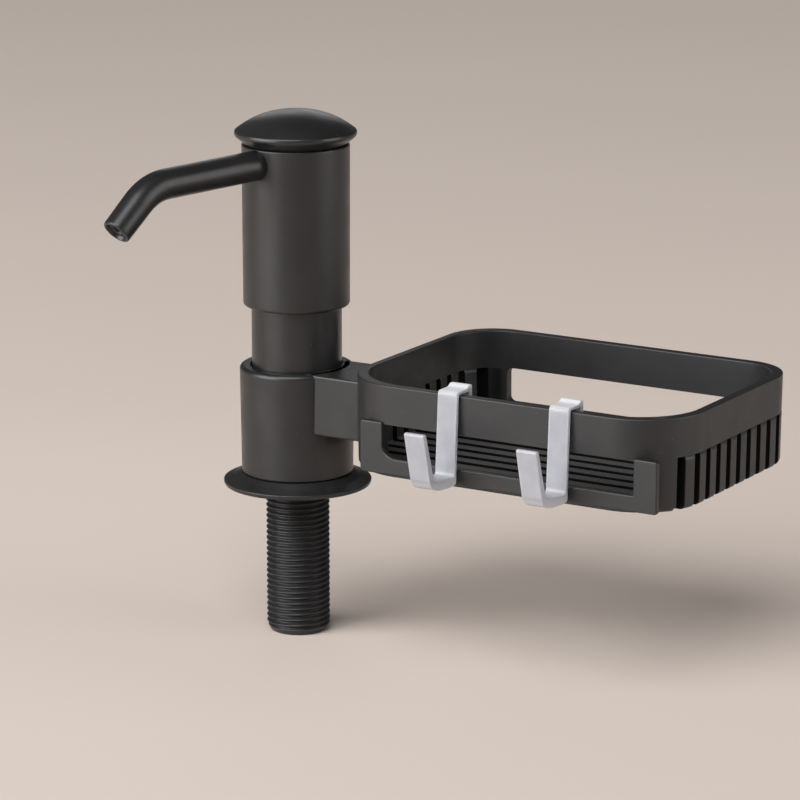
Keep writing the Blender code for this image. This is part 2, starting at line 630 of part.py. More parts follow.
def make_spout(black, rubber, carrier):
    """Bent spout, its end in the head's core, its liner and its seal."""
    stations = spout_stations(HEAD_BORE - 0.0032)
    widths = [SPOUT_RADIUS] * (len(stations) - 1) + [SPOUT_TIP_RADIUS]
    spout = swept("spout_tube", stations, widths, black, 28)
    saddle = turned("spout_saddle", [
        (0.0, HEAD_BOTTOM), (HEAD_RADIUS_TOP + GAP, HEAD_BOTTOM),
        (HEAD_RADIUS_TOP + GAP, CAP_APEX), (0.0, CAP_APEX),
    ], None)
    combine(spout, saddle, "DIFFERENCE")
    inner_end = spout_stations(SPIGOT_INNER)[0]
    root = [inner_end, beyond(inner_end, HEAD_RADIUS_TOP + 0.004 - SPIGOT_INNER)]
    combine(spout, swept("spout_spigot", root, [SPIGOT_RADIUS] * 2, None), "UNION")
    tip = stations[-1]
    seat_depth = LINER_LENGTH + LINER_RECESS + GAP
    bore = [beyond(inner_end, -0.001)] + stations[1:-1]
    bore += [beyond(tip, -seat_depth - 0.0002), beyond(tip, -seat_depth), beyond(tip, 0.001)]
    bore_radii = [SPOUT_BORE] * (len(bore) - 2) + [LINER_SEAT] * 2
    combine(spout, swept("spout_bore", bore, bore_radii, None), "DIFFERENCE")

    liner_end = beyond(tip, -LINER_RECESS)
    liner_start = beyond(liner_end, -LINER_LENGTH)
    liner_radius = LINER_SEAT - GAP
    liner = swept("spout_liner", [liner_start, liner_end], [liner_radius] * 2, black, 20)
    hole = [beyond(liner_start, -0.001), beyond(liner_end, 0.001)]
    combine(liner, swept("liner_bore", hole, [liner_radius - LINER_WALL] * 2, None, 20), "DIFFERENCE")

    seal_start = beyond(inner_end, -GAP - SPOUT_SEAL_LENGTH)
    seal_end = beyond(inner_end, -GAP)
    seal = swept("spout_seal", [seal_start, seal_end], [SPIGOT_RADIUS] * 2, rubber, 20)
    hole = [beyond(seal_start, -0.001), beyond(seal_end, 0.001)]
    combine(seal, swept("seal_bore", hole, [SPOUT_BORE] * 2, None, 20), "DIFFERENCE")
    for piece in (spout, liner, seal):
        piece.parent = carrier


def make_head(black, clear, rubber, carrier):
    """Head shell, core and domed cap."""
    shell = turned("head_shell", [
        (HEAD_BORE, HEAD_BOTTOM), (HEAD_RADIUS_BOTTOM - HEAD_EDGE, HEAD_BOTTOM),
        (HEAD_RADIUS_BOTTOM - 0.3 * HEAD_EDGE, HEAD_BOTTOM + 0.3 * HEAD_EDGE),
        (HEAD_RADIUS_BOTTOM, HEAD_BOTTOM + HEAD_EDGE),
        (HEAD_RADIUS_TOP, HEAD_TOP - 0.0004), (HEAD_RADIUS_TOP - 0.0004, HEAD_TOP),
        (HEAD_BORE, HEAD_TOP),
    ], black)
    inner_end = spout_stations(SPIGOT_INNER)[0]
    way_in = [inner_end, beyond(inner_end, HEAD_RADIUS_TOP + 0.004 - SPIGOT_INNER)]
    combine(shell, swept("shell_hole", way_in, [SPIGOT_RADIUS + GAP] * 2, None), "DIFFERENCE")

    socket = STEM_RADIUS + GAP
    groove = STEM_SEAL_SECTION + GAP
    groove_floor = socket + 2 * STEM_SEAL_SECTION + GAP
    ceiling = STEM_TOP + GAP
    core = turned("head_core", [
        (socket, HUB_BOTTOM), (HUB_RADIUS, HUB_BOTTOM), (HUB_RADIUS, CORE_BOTTOM),
        (HEAD_BORE - GAP, CORE_BOTTOM), (HEAD_BORE - GAP, CORE_TOP), (0.0, CORE_TOP),
        (0.0, SPOUT_ROOT_HEIGHT), (GALLERY_RADIUS, SPOUT_ROOT_HEIGHT), (GALLERY_RADIUS, ceiling),
        (socket, ceiling), (socket, STEM_SEAL_HEIGHT + groove),
        (groove_floor, STEM_SEAL_HEIGHT + groove), (groove_floor, STEM_SEAL_HEIGHT - groove),
        (socket, STEM_SEAL_HEIGHT - groove),
    ], clear)
    seat = beyond(inner_end, -2 * GAP - SPOUT_SEAL_LENGTH)
    combine(core, swept("core_socket", [seat, way_in[1]], [SPIGOT_RADIUS + GAP] * 2, None), "DIFFERENCE")
    channel = spout_stations(0.0)[0]
    combine(core, swept("core_channel", [channel, way_in[1]], [GALLERY_RADIUS + 0.0005] * 2, None, 16),
            "DIFFERENCE")

    seal_profile = arc(socket + STEM_SEAL_SECTION, STEM_SEAL_HEIGHT, STEM_SEAL_SECTION, 0, 315, 7)
    seal = turned("stem_seal", seal_profile, rubber, ROUND_SMALL)

    cap_base = HEAD_TOP + GAP
    dome_edge = CAP_RADIUS - 0.0008
    dome_edge_height = CAP_EDGE_HEIGHT + 0.0015
    rise = CAP_APEX - dome_edge_height
    sphere = (dome_edge ** 2 + rise ** 2) / (2.0 * rise)
    spread = math.degrees(math.asin(dome_edge / sphere))
    dome = arc(0.0, CAP_APEX - sphere, sphere, 90 - spread, 90, CAP_DOME_STEPS)[:-1]
    cap = turned("dome_cap", [
        (CAP_HOLLOW_RADIUS, cap_base - CAP_PLUG_DEPTH), (HEAD_BORE - GAP, cap_base - CAP_PLUG_DEPTH),
        (HEAD_BORE - GAP, cap_base), (CAP_NECK, cap_base), (CAP_NECK, CAP_NECK_TOP - 0.0002),
        (CAP_RADIUS - 0.0020, CAP_NECK_TOP + 0.0002), (CAP_RADIUS - 0.0003, CAP_EDGE_HEIGHT - 0.0012),
        (CAP_RADIUS, CAP_EDGE_HEIGHT), (CAP_RADIUS - 0.0002, CAP_EDGE_HEIGHT + 0.0009),
        *dome, (0.0, CAP_APEX), (0.0, CAP_HOLLOW_TOP), (CAP_HOLLOW_RADIUS, CAP_HOLLOW_TOP - 0.0016),
    ], black)
    for piece in (shell, core, seal, cap):
        piece.parent = carrier


# ---------------------------------------------------------------- the basket
def basket_loop(inset, radius_change, height):
    """One level of the basket's outline, moved in by `inset`."""
    front = CORNER_FRONT - inset + radius_change
    rear = CORNER_REAR - inset + radius_change
    outline = rounded_outline(
        BASKET_LEFT + inset, BASKET_RIGHT - inset, BASKET_FRONT + inset, BASKET_BACK - inset,
        (front, front, rear, rear))
    return [(x, y, height) for x, y in outline]


def slot_centres():
    """Middles of the slots, stepping back from the front face."""
    centres = []
    position = BASKET_FRONT + SLOT_FIRST
    while position + SLOT_WIDTH / 2.0 < BASKET_BACK - SLOT_END_MARGIN:
        centres.append(position)
        position += SLOT_PITCH
    return centres


def make_basket(black, carrier):
    """Open basket, its ends and floor slotted in one pass, with two windows."""
    loops = [
        basket_loop(WALL_DRAFT + BOTTOM_EDGE, 0.0, BASKET_BOTTOM),
        basket_loop(WALL_DRAFT + 0.3 * BOTTOM_EDGE, 0.0, BASKET_BOTTOM + 0.3 * BOTTOM_EDGE),
        basket_loop(WALL_DRAFT, 0.0, BASKET_BOTTOM + BOTTOM_EDGE),
        basket_loop(0.0, 0.0, BASKET_TOP - RIM_EDGE),
        basket_loop(RIM_EDGE, 0.0, BASKET_TOP),
        basket_loop(BASKET_WALL - RIM_EDGE, CORNER_THICKENING, BASKET_TOP),
        basket_loop(BASKET_WALL, CORNER_THICKENING, BASKET_TOP - RIM_EDGE),
        basket_loop(BASKET_WALL + WALL_DRAFT, CORNER_THICKENING, FLOOR_TOP),
    ]
    basket = link("basket", stacked_mesh("basket", loops), black)
    reach = 0.01
    for number, centre in enumerate(slot_centres()):
        slot = box(f"slot_cutter_{number + 1}",
                   (BASKET_LEFT - reach, centre - SLOT_WIDTH / 2.0, BASKET_BOTTOM - reach),
                   (BASKET_RIGHT + reach, centre + SLOT_WIDTH / 2.0, BAND_BOTTOM))
        combine(basket, slot, "DIFFERENCE")
    sill = FLOOR_TOP + BACK_SILL
    back_window = rounded_outline(
        BASKET_LEFT + WINDOW_SIDE, BASKET_RIGHT - WINDOW_SIDE, sill, BAND_BOTTOM, (WINDOW_RADIUS,) * 4, 3)
    opening = prism("back_window", back_window, BASKET_BACK - BASKET_WALL - 0.002, BASKET_BACK + reach, "Y")
    combine(basket, link("back_window", opening, None), "DIFFERENCE")
    window_left = PLATE_LEFT + PLATE_MARGIN - GAP
    window_right = PLATE_RIGHT - PLATE_MARGIN + GAP
    combine(basket, box("front_window", (window_left, BASKET_FRONT - reach, FLOOR_TOP),
                        (window_right, BASKET_FRONT + BASKET_WALL + 0.002, BAND_BOTTOM)), "DIFFERENCE")
    pocket_back = BASKET_FRONT - PLATE_PROUD + PLATE_THICKNESS + GAP
    pockets = {
        "rail_pocket": (PLATE_LEFT, PLATE_RIGHT, PLATE_BOTTOM + PLATE_SILL),
        "left_pad_pocket": (PLATE_LEFT, PLATE_LEFT + PLATE_MARGIN, PLATE_TOP),
        "right_pad_pocket": (PLATE_RIGHT - PLATE_MARGIN, PLATE_RIGHT, PLATE_TOP),
    }
    for name, (left, right, top) in pockets.items():
        combine(basket, box(name, (left - GAP, BASKET_FRONT - reach, PLATE_BOTTOM - GAP),
                            (right + GAP, pocket_back, top + GAP)), "DIFFERENCE")
    basket.parent = carrier


def make_front_plate(black, carrier):
    """Flat U-shaped plate across the front: a pad at each end and a rail below."""
    face = BASKET_FRONT - PLATE_PROUD
    outline = rounded_outline(PLATE_LEFT, PLATE_RIGHT, PLATE_BOTTOM, PLATE_TOP,
                              (0.0003, 0.0003, PLATE_CORNER, PLATE_CORNER), 3)
    mesh = prism("front_plate", outline, face, face + PLATE_THICKNESS, "Y")
    plate = link("front_plate", mesh, black)
    window = rounded_outline(
        PLATE_LEFT + PLATE_MARGIN, PLATE_RIGHT - PLATE_MARGIN, PLATE_BOTTOM + PLATE_SILL, PLATE_TOP + 0.003,
        (RAIL_CORNER_LEFT, RAIL_CORNER_RIGHT, 0.0003, 0.0003), 4)
    opening = prism("plate_window", window, face - 0.002, face + PLATE_THICKNESS + 0.002, "Y")
    combine(plate, link("plate_window", opening, None), "DIFFERENCE")
    plate.parent = carrier


def make_bracket(black, carrier):
    """Ring around the sleeve with the arm that carries the basket."""
    bracket = turned("bracket_ring", [
        (0.0, RING_BOTTOM), (RING_RADIUS_BOTTOM, RING_BOTTOM),
        (RING_RADIUS_TOP, RING_TOP - RING_EDGE),
        (RING_RADIUS_TOP - 0.3 * RING_EDGE, RING_TOP - 0.3 * RING_EDGE),
        (RING_RADIUS_TOP - RING_EDGE, RING_TOP), (0.0, RING_TOP),
    ], black)
    side = ARM_HALF_WIDTH
    section = [(-side, ARM_BOTTOM), (side, ARM_BOTTOM), (side, RING_TOP - ARM_EDGE),
               (side - ARM_EDGE, RING_TOP), (-side + ARM_EDGE, RING_TOP), (-side, RING_TOP - ARM_EDGE)]
    arm = prism("arm_form", section, 0.0, BASKET_LEFT + CORNER_FRONT / 2.0, "X")
    combine(bracket, link("arm_form", arm, None), "UNION")
    outer = basket_loop(-GAP, 0.0, 0.0)
    wall = stacked_mesh("basket_form", [[(x, y, height) for x, y, _ in outer]
                                        for height in (RING_BOTTOM - 0.001, RING_TOP + 0.001)])
    combine(bracket, link("basket_form", wall, None), "DIFFERENCE")
    bore = turned("ring_bore", [
        (0.0, RING_BOTTOM - 0.001), (RING_BORE, RING_BOTTOM - 0.001),
        (RING_BORE, RING_TOP + 0.001), (0.0, RING_TOP + 0.001),
    ], None)
    combine(bracket, bore, "DIFFERENCE")
    bracket.parent = carrier


def hook_outline():
    """Side view of a hook, as (distance from the basket's front face, height)."""
    lean = math.tan(HOOK_LEAN)
    leg_lean = math.tan(HOOK_LEG_LEAN)
    bridge_under = BASKET_TOP + GAP
    bridge_top = bridge_under + HOOK_BRIDGE
    bottom = BASKET_TOP - HOOK_DROP
    strip_back = -GAP
    strip_face = strip_back - HOOK_STRIP
    lip_face = BASKET_WALL + HOOK_LIP_GAP
    lip_back = lip_face + HOOK_LIP
    lip_end = BASKET_TOP - HOOK_LIP_DROP
    bead_top = bridge_top + HOOK_LIP_RISE
    floor_top = bottom + HOOK_FLOOR
    foot_back = strip_back - lean * (BASKET_TOP - floor_top)
    foot_face = foot_back - HOOK_STRIP
    leg_foot = foot_face - HOOK_REACH
    leg_rise = HOOK_TIP_RISE - (floor_top - bottom)
    tip = bottom + HOOK_TIP_RISE
    outline = [
        (lip_back + 0.0006, lip_end), (lip_back, bead_top - 0.0006), (lip_back - 0.0006, bead_top),
        (lip_face - 0.0002, bead_top), (lip_face - 0.0020, bridge_top),
        (strip_back + 0.0002, bridge_top), (strip_face + 0.0005, bridge_top - 0.0003),
        (strip_face, bridge_top - HOOK_BRIDGE),
        (foot_face, floor_top + 0.0016), (foot_face - 0.0010, floor_top),
        (leg_foot + HOOK_LEG + 0.0030, floor_top + 0.0010),
        (leg_foot + HOOK_LEG + 0.0006, floor_top + 0.0032),
        (leg_foot + HOOK_LEG - leg_lean * leg_rise, tip - 0.0004),
        (leg_foot + 0.5 * HOOK_LEG - leg_lean * leg_rise, tip),
        (leg_foot - leg_lean * leg_rise, tip - 0.0004),
        (leg_foot, floor_top + 0.0030), (leg_foot + 0.0006, floor_top + 0.0012),
        (leg_foot + 0.0024, bottom + 0.0026), (leg_foot + 0.0064, bottom + 0.0007),
        (foot_face - 0.0028, bottom), (foot_back - 0.0006, bottom + 0.0006),
        (foot_back, bottom + 0.0018), (strip_back, bridge_under - 0.0003),
        (strip_back + 0.0002, bridge_under),
        (lip_face - 0.0006, bridge_under), (lip_face, bridge_under - 0.0010),
        (lip_face + 0.0006, lip_end),
    ]
    return [(BASKET_FRONT + across, height) for across, height in outline]


def make_hooks(clear, carrier):
    """Two equal hooks over the front rim, on one shared mesh."""
    half = HOOK_WIDTH / 2.0
    mesh = prism("hook", hook_outline(), -half, half, "X")
    for name, centre in HOOK_CENTRES.items():
        hook = link(name, mesh, clear, (centre, 0.0, 0.0))
        hook.parent = carrier


def carrier(name, parent=None):
    """An empty on the pump's axis that carries a moving group."""
    empty = bpy.data.objects.new(name, None)
    bpy.context.scene.collection.objects.link(empty)
    empty.parent = parent
    return empty


for old in list(bpy.data.objects):
    bpy.data.objects.remove(old, do_unlink=True)

satin_black = material("satin_black_plastic", (0.020, 0.020, 0.021), 0.42)
engine_plastic = material("natural_engine_plastic", (0.72, 0.73, 0.72), 0.35)
seal_rubber = material("seal_rubber", (0.030, 0.030, 0.032), 0.75)
stainless = material("stainless_steel", (0.62, 0.62, 0.63), 0.25, 1.0)
frosted_clear = material("frosted_clear_plastic", (0.86, 0.87, 0.90), 0.30, 0.0, 0.8)

plunger_carrier = carrier("plunger_axis")
head_carrier = carrier("head_axis", plunger_carrier)
basket_carrier = carrier("basket_axis")

make_fixed_body(satin_black, seal_rubber, engine_plastic, stainless)
make_plunger(engine_plastic, seal_rubber, stainless, plunger_carrier)
ball("outlet_ball", OUTLET_BALL, OUTLET_BALL_HEIGHT, stainless)
make_head(satin_black, engine_plastic, seal_rubber, head_carrier)
make_spout(satin_black, seal_rubber, head_carrier)
make_bracket(satin_black, basket_carrier)
make_basket(satin_black, basket_carrier)
make_front_plate(satin_black, basket_carrier)
make_hooks(frosted_clear, basket_carrier)
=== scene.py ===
"""A deck-mounted soap pump with a swing-round caddy basket, finished for display.

Lengths are in metres, in the model's frame: +Z up from the counter's top, +X along
the basket, -Y the front. Every visible moulding is worked out again here as a fine
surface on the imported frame, and so is the return spring. The rest of the engine inside
keeps the frame's own solids.
"""
import math

import bmesh
import bpy
import numpy as np
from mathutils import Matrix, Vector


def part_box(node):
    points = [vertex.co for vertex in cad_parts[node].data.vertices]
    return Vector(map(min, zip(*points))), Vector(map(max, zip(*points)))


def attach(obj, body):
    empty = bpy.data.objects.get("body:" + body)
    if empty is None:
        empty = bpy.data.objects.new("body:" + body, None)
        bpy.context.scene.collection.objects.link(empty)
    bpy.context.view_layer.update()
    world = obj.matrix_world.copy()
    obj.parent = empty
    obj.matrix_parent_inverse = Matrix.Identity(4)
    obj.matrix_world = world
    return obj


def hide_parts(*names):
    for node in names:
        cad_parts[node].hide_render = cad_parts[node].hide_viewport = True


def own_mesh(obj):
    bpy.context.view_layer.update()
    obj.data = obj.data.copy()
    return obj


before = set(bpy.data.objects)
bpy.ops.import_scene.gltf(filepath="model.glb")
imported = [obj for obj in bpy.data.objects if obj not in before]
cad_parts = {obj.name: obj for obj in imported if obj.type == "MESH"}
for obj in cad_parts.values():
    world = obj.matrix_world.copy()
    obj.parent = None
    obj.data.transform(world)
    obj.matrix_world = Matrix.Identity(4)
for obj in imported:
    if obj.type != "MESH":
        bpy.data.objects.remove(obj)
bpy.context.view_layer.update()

# ------------------------------------------------------------------ camera
# A long lens, 14 degrees above the counter and 31 degrees round from the front towards
# the basket's far end, so the shank, the spout's tip and that end all fit the frame.
camera = bpy.data.objects.new("view_camera", bpy.data.cameras.new("view_camera"))
camera.data.lens = 179.0
camera.data.sensor_width = 36.0
camera.location = (0.76590, -1.20355, 0.38247)
camera.rotation_euler = (math.radians(76.151), 0.0, math.radians(30.948))
camera.data.clip_end = 20.0
bpy.context.scene.collection.objects.link(camera)
bpy.context.scene.camera = camera

# ------------------------------------------------------------------ threaded shank
# The part that passes through the counter: a screw thread below a domed flange, with
# a short spigot above that the sleeve is pressed over. Glass-filled nylon moulded in
# one piece, its thread cut by an unscrewing core, so crests are blunt and a bit shiny.
SHANK_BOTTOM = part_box("threaded_shank")[0][2]
THREAD_CREST = 0.0118
THREAD_ROOT = 0.0107
THREAD_PITCH = 0.002117
THREAD_RUNOUT = -0.0030        # where the thread fades into the neck
ROWS_PER_TURN = 16
LEAD_IN_RADIUS = 0.0103        # at the shank's free end
LEAD_IN_SLOPE = 0.58


def rounded(corners, radii, steps=5, hold=0.00025):
    """Closed outline with an arc at every corner, and a holding point beside each arc.

    Each arc is tangent to both sides at its corner. It starts at a distance of
    radius * tan(half the turn) from the corner, and turns evenly in `steps`.
    """
    corners = np.asarray(corners, dtype=float)
    radii = np.broadcast_to(np.asarray(radii, dtype=float), len(corners))
    outline = []
    for index, corner in enumerate(corners):
        back = corners[index - 1] - corner
        ahead = corners[(index + 1) % len(corners)] - corner
        reach_back, reach_ahead = np.linalg.norm(back), np.linalg.norm(ahead)
        back, ahead = back / reach_back, ahead / reach_ahead
        half = 0.5 * math.acos(np.clip(np.dot(back, ahead), -1.0, 1.0))
        radius = radii[index]
        cut = min(radius / math.tan(half), 0.45 * min(reach_back, reach_ahead))
        radius = cut * math.tan(half)
        centre = corner + (back + ahead) / np.linalg.norm(back + ahead) * radius / math.sin(half)
        start, end = corner + back * cut - centre, corner + ahead * cut - centre
        turn = math.atan2(start[0] * end[1] - start[1] * end[0], np.dot(start, end))
        angles = turn * np.arange(steps + 1) / steps
        across = np.array([-start[1], start[0]])
        arc = centre + np.cos(angles)[:, None] * start + np.sin(angles)[:, None] * across
        margin = min(hold, 0.4 * (min(reach_back, reach_ahead) - 2 * cut))
        if margin > 1e-6:
            arc = np.vstack([arc[:1] + back * margin, arc, arc[-1:] + ahead * margin])
        outline.append(arc)
    return np.vstack(outline)


def skin(name, grids, finish):
    """One mesh of quads from grids of points (rows, columns, 3).

    Each entry is (grid, rows, columns close up). Faces join each point to its
    neighbours in the next row and column. `rows` is True where the last row joins the
    first, False where both ends run to a point, and "flat" where one flat face fills
    each. Points that meet are merged, so poles and seams are closed, and the faces
    are turned outwards.
    """
    points, faces, start = [], [], 0
    for grid, rows_close, columns_close in grids:
        rows, columns = grid.shape[:2]
        index = start + np.arange(rows * columns).reshape(rows, columns)
        if rows_close == "flat":
            faces += [index[0].tolist(), index[-1].tolist()]
        elif rows_close:
            index = np.vstack([index, index[:1]])
        if columns_close:
            index = np.hstack([index, index[:, :1]])
        quads = np.stack([index[:-1, :-1], index[:-1, 1:], index[1:, 1:], index[1:, :-1]], axis=-1)
        faces += quads.reshape(-1, 4).tolist()
        points.append(grid.reshape(-1, 3))
        start += rows * columns
    mesh = bpy.data.meshes.new(name)
    mesh.from_pydata(np.vstack(points), [], faces)
    merged = bmesh.new()
    merged.from_mesh(mesh)
    bmesh.ops.remove_doubles(merged, verts=merged.verts, dist=1e-7)
    bmesh.ops.recalc_face_normals(merged, faces=merged.faces)
    merged.to_mesh(mesh)
    merged.free()
    mesh.shade_smooth()
    corner_counts = np.zeros(len(mesh.polygons), dtype=np.int32)
    mesh.polygons.foreach_get("loop_total", corner_counts)
    mesh.polygons.foreach_set("use_smooth", corner_counts <= 4)
    mesh.materials.append(finish)
    piece = bpy.data.objects.new(name, mesh)
    bpy.context.scene.collection.objects.link(piece)
    return piece


def revolved(outline, sides=160):
    """Grid of an outline of (radius, height) points turned about the pump's axis."""
    outline = np.asarray(outline)
    angles = 2.0 * math.pi * np.arange(sides) / sides
    radius, height = outline[:, :1], outline[:, 1:]
    return np.stack([radius * np.cos(angles), radius * np.sin(angles),
                     np.broadcast_to(height, (len(outline), sides))], axis=-1)


def threaded_body():
    """Grid of the shank: thread, flange, spigot and bore as one closed surface.

    The thread's rows climb one pitch in a turn: height = pitch * (row / rows a turn +
    angle / full turn), and the radius is read from the tooth's outline by row. Rows
    beyond the thread's ends collapse onto them. A 30 degree lead-in cuts the crests.
    """
    sides = 112
    turn = np.arange(sides + 1) / sides
    angles = 2.0 * math.pi * turn
    count = int((THREAD_RUNOUT - SHANK_BOTTOM) / THREAD_PITCH + 3) * ROWS_PER_TURN
    row = np.arange(count)[:, None]
    height = SHANK_BOTTOM - 1.5 * THREAD_PITCH + THREAD_PITCH * (row / ROWS_PER_TURN + turn)
    tooth = np.abs((row / ROWS_PER_TURN) % 1.0 - 0.5) * 2.0
    tooth = np.interp(tooth, [0.0, 0.10, 0.17, 0.80, 0.90, 1.0],
                      [1.0, 0.985, 0.90, 0.12, 0.015, 0.0])
    fade = np.clip((THREAD_RUNOUT + THREAD_PITCH - height) / (2.0 * THREAD_PITCH), 0.0, 1.0)
    middle = 0.5 * (THREAD_CREST + THREAD_ROOT)
    radius = middle + (THREAD_ROOT + (THREAD_CREST - THREAD_ROOT) * tooth - middle) * fade
    lead_in = LEAD_IN_RADIUS + LEAD_IN_SLOPE * np.maximum(height - SHANK_BOTTOM, 0.0)
    radius = np.minimum(radius, lead_in)
    height = np.clip(height, SHANK_BOTTOM, THREAD_RUNOUT + 0.0015)
    thread = np.stack([radius * np.cos(angles), radius * np.sin(angles), height], axis=-1)

    rim = rounded([(0.0270, -0.0030), (0.0270, 0.0), (0.0273, 0.0003), (0.0274, 0.0014),
                   (0.0262, 0.0018), (0.0235, 0.0028), (0.0210, 0.0043), (0.0207, 0.0044),
                   (0.0144, 0.0044)],
                  [0.0, 0.0002, 0.0004, 0.0004, 0.0030, 0.0040, 0.0004, 0.0002, 0.0],
                  5, 0.0001)[8:-8]
    upper = np.vstack([
        [(middle, -0.0009), (middle, -0.0003), (middle + 0.0003, 0.0), (0.0189, 0.0),
         (0.0190, 0.0001), (0.0190, 0.0012), (0.0240, 0.0012), (0.0240, 0.0001), (0.0241, 0.0)],
        rim,
        [(0.0144, 0.0044), (0.0144, 0.0198), (0.0142, 0.0200), (0.0117, 0.0200), (0.0115, 0.0198),
         (0.0115, 0.0062), (0.0114, 0.0060), (0.0088, 0.0060), (0.0086, 0.0058),
         (0.0086, SHANK_BOTTOM + 0.0006), (0.0087, SHANK_BOTTOM + 0.0002), (0.0089, SHANK_BOTTOM)],
    ])
    return np.vstack([thread, np.dstack([
        upper[:, :1] * np.cos(angles), upper[:, :1] * np.sin(angles),
        np.broadcast_to(upper[:, 1:], (len(upper), sides + 1))])])


def join(finish, node, inputs):
    """Fills a node's inputs, by name or number: a socket is linked, a value is set."""
    for key, given in inputs.items():
        if isinstance(given, bpy.types.NodeSocket):
            finish.node_tree.links.new(given, node.inputs[key])
        else:
            node.inputs[key].default_value = given


def add(finish, kind, inputs=None, **settings):
    """Outputs of a new node. Its settings come first, because they name its inputs."""
    node = finish.node_tree.nodes.new("ShaderNode" + kind)
    for key, given in settings.items():
        setattr(node, key, given)
    join(finish, node, inputs or {})
    return node.outputs


def new_finish(name):
    """A new material, and the outputs that say where each point of a piece is."""
    finish = bpy.data.materials.new(name)
    finish.use_nodes = True
    return finish, add(finish, "TexCoord")


def shade(finish, inputs):
    """Fills the inputs of a finish's own shader."""
    join(finish, finish.node_tree.nodes["Principled BSDF"], inputs)


def noise(finish, point, scale, detail, rough=0.5):
    """Soft noise at each point."""
    return add(finish, "TexNoise", {"Vector": point, "Scale": scale, "Detail": detail,
                                    "Roughness": rough})["Fac"]


def spread(finish, source, low, high, out_low, out_high):
    """Carries low to high over onto out_low to out_high, and holds it at both ends."""
    return add(finish, "MapRange", {"Value": source, "From Min": low, "From Max": high,
                                    "To Min": out_low, "To Max": out_high})["Result"]


def mixed(finish, amount, first, second):
    """The first colour where the amount is 0, the second where it is 1."""
    return add(finish, "Mix", {"Factor": amount, "A": first, "B": second},
               data_type="RGBA")["Result"]


def combined(finish, operation, first, second):
    """The product, or the larger, of two amounts."""
    return add(finish, "Math", {0: first, 1: second}, operation=operation)["Value"]


def split(finish, vector):
    """X, Y and Z of a vector."""
    return add(finish, "SeparateXYZ", {"Vector": vector})


def lifted(finish, height, strength, distance, **under):
    """Bump from a height, on top of another bump where one is given as Normal."""
    return add(finish, "Bump", {"Height": height, "Strength": strength,
                                "Distance": distance, **under})["Normal"]


def ramp(finish, source, low, high, low_at=0.0, high_at=1.0):
    """Colour that goes from low to high as the source goes from low_at to high_at."""
    node = finish.node_tree.nodes.new("ShaderNodeValToRGB")
    for element, colour, at in zip(node.color_ramp.elements, (low, high), (low_at, high_at)):
        element.color, element.position = (*colour, 1.0), at
    finish.node_tree.links.new(source, node.inputs["Fac"])
    return node.outputs["Color"]


PLASTIC_ROUGH = 0.55           # how rough the noise in the black plastic is
RUBBED = (0.050, 0.050, 0.052, 1.0)
DUST = (0.16, 0.155, 0.15, 1.0)
# paler colour for upward faces just below a given height
PALER_TOP = (0.062, 0.062, 0.063, 1.0)
# painted shade for the slots' sides
PAINTED_SLOT_SHADE = (0.004, 0.004, 0.004, 1.0)


def moulded_black(name, grain=1.0, gloss=0.40, tone=0.013, wear=0.5, paler_tops_below=None, shaded_recess=None):
    """Satin black moulded plastic.

    Fine grain from the spark-eroded tool and a slow ripple from cooling lift the
    surface. The gloss varies in soft patches, exposed edges are rubbed a bit paler,
    and sparse specks of dust lie in the grain. Upward faces just below the given
    height are made paler. Faces across the depth, within the given box of (front,
    back, top), are the slots' sides: painted shade darkens them and their specular
    is turned down, to stand in for the shade inside the slots.
    """
    finish, place = new_finish(name)
    point = place["Object"]
    surface = add(finish, "NewGeometry")

    def grainy(scale, detail, rough=PLASTIC_ROUGH):
        return noise(finish, point, scale, detail, rough)

    colour = mixed(finish, spread(finish, grainy(70.0, 4.0), 0.35, 0.70, 0.0, 0.35),
                   (tone, tone, tone * 1.04, 1.0), (tone * 1.7, tone * 1.7, tone * 1.75, 1.0))
    worn = spread(finish, surface["Pointiness"], 0.52, 0.60, 0.0, wear)
    colour = mixed(finish, worn, colour, RUBBED)
    specks = spread(finish, grainy(1400.0, 1.0), 0.76, 0.80, 0.0, 0.35)
    colour = mixed(finish, specks, colour, DUST)
    # upward faces just below the given height are made paler
    if paler_tops_below is not None:
        below = spread(finish, split(finish, point)["Z"], paler_tops_below - 0.0006, paler_tops_below + 0.0002,
                       1.0, 0.0)
        upward = spread(finish, split(finish, surface["True Normal"])["Z"], 0.5, 0.9, 0.0, 1.0)
        colour = mixed(finish, combined(finish, "MULTIPLY", below, upward), colour, PALER_TOP)
    # painted shade: slot sides across the depth are darkened and lose their specular
    if shaded_recess is not None:
        front, back, top = shaded_recess
        where = split(finish, point)
        facing = split(finish, place["Normal"])["Y"]
        sideways = add(finish, "Math", {0: facing}, operation="ABSOLUTE")["Value"]
        amount = spread(finish, sideways, 0.70, 0.95, 0.0, 1.0)
        for limit in (spread(finish, where["Y"], front, front + 0.001, 0.0, 1.0),
                      spread(finish, where["Y"], back - 0.001, back, 1.0, 0.0),
                      spread(finish, where["Z"], top - 0.0002, top, 1.0, 0.0)):
            amount = combined(finish, "MULTIPLY", amount, limit)
        colour = mixed(finish, amount, colour, PAINTED_SLOT_SHADE)
        shade(finish, {"Specular IOR Level": spread(finish, amount, 0.0, 1.0, 0.5, 0.06)})
    ripple = lifted(finish, grainy(45.0, 2.0), 0.10, 0.0006)
    shade(finish, {
        "Base Color": colour,
        "Roughness": spread(finish, grainy(130.0, 5.0, 0.65), 0.3, 0.7,
                            gloss - 0.05, gloss + 0.07),
        "Normal": lifted(finish, grainy(3200.0, 3.0, 0.6), 0.16 * grain, 0.00006, Normal=ripple)})
    return finish


column_black = moulded_black("satin_black_column", gloss=0.33, tone=0.012)
thread_black = moulded_black("satin_black_thread", grain=0.6, gloss=0.35, tone=0.012, wear=0.35)

shank = skin("shank_moulding", [(threaded_body(), True, False)], thread_black)
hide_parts("threaded_shank")
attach(shank, "base")

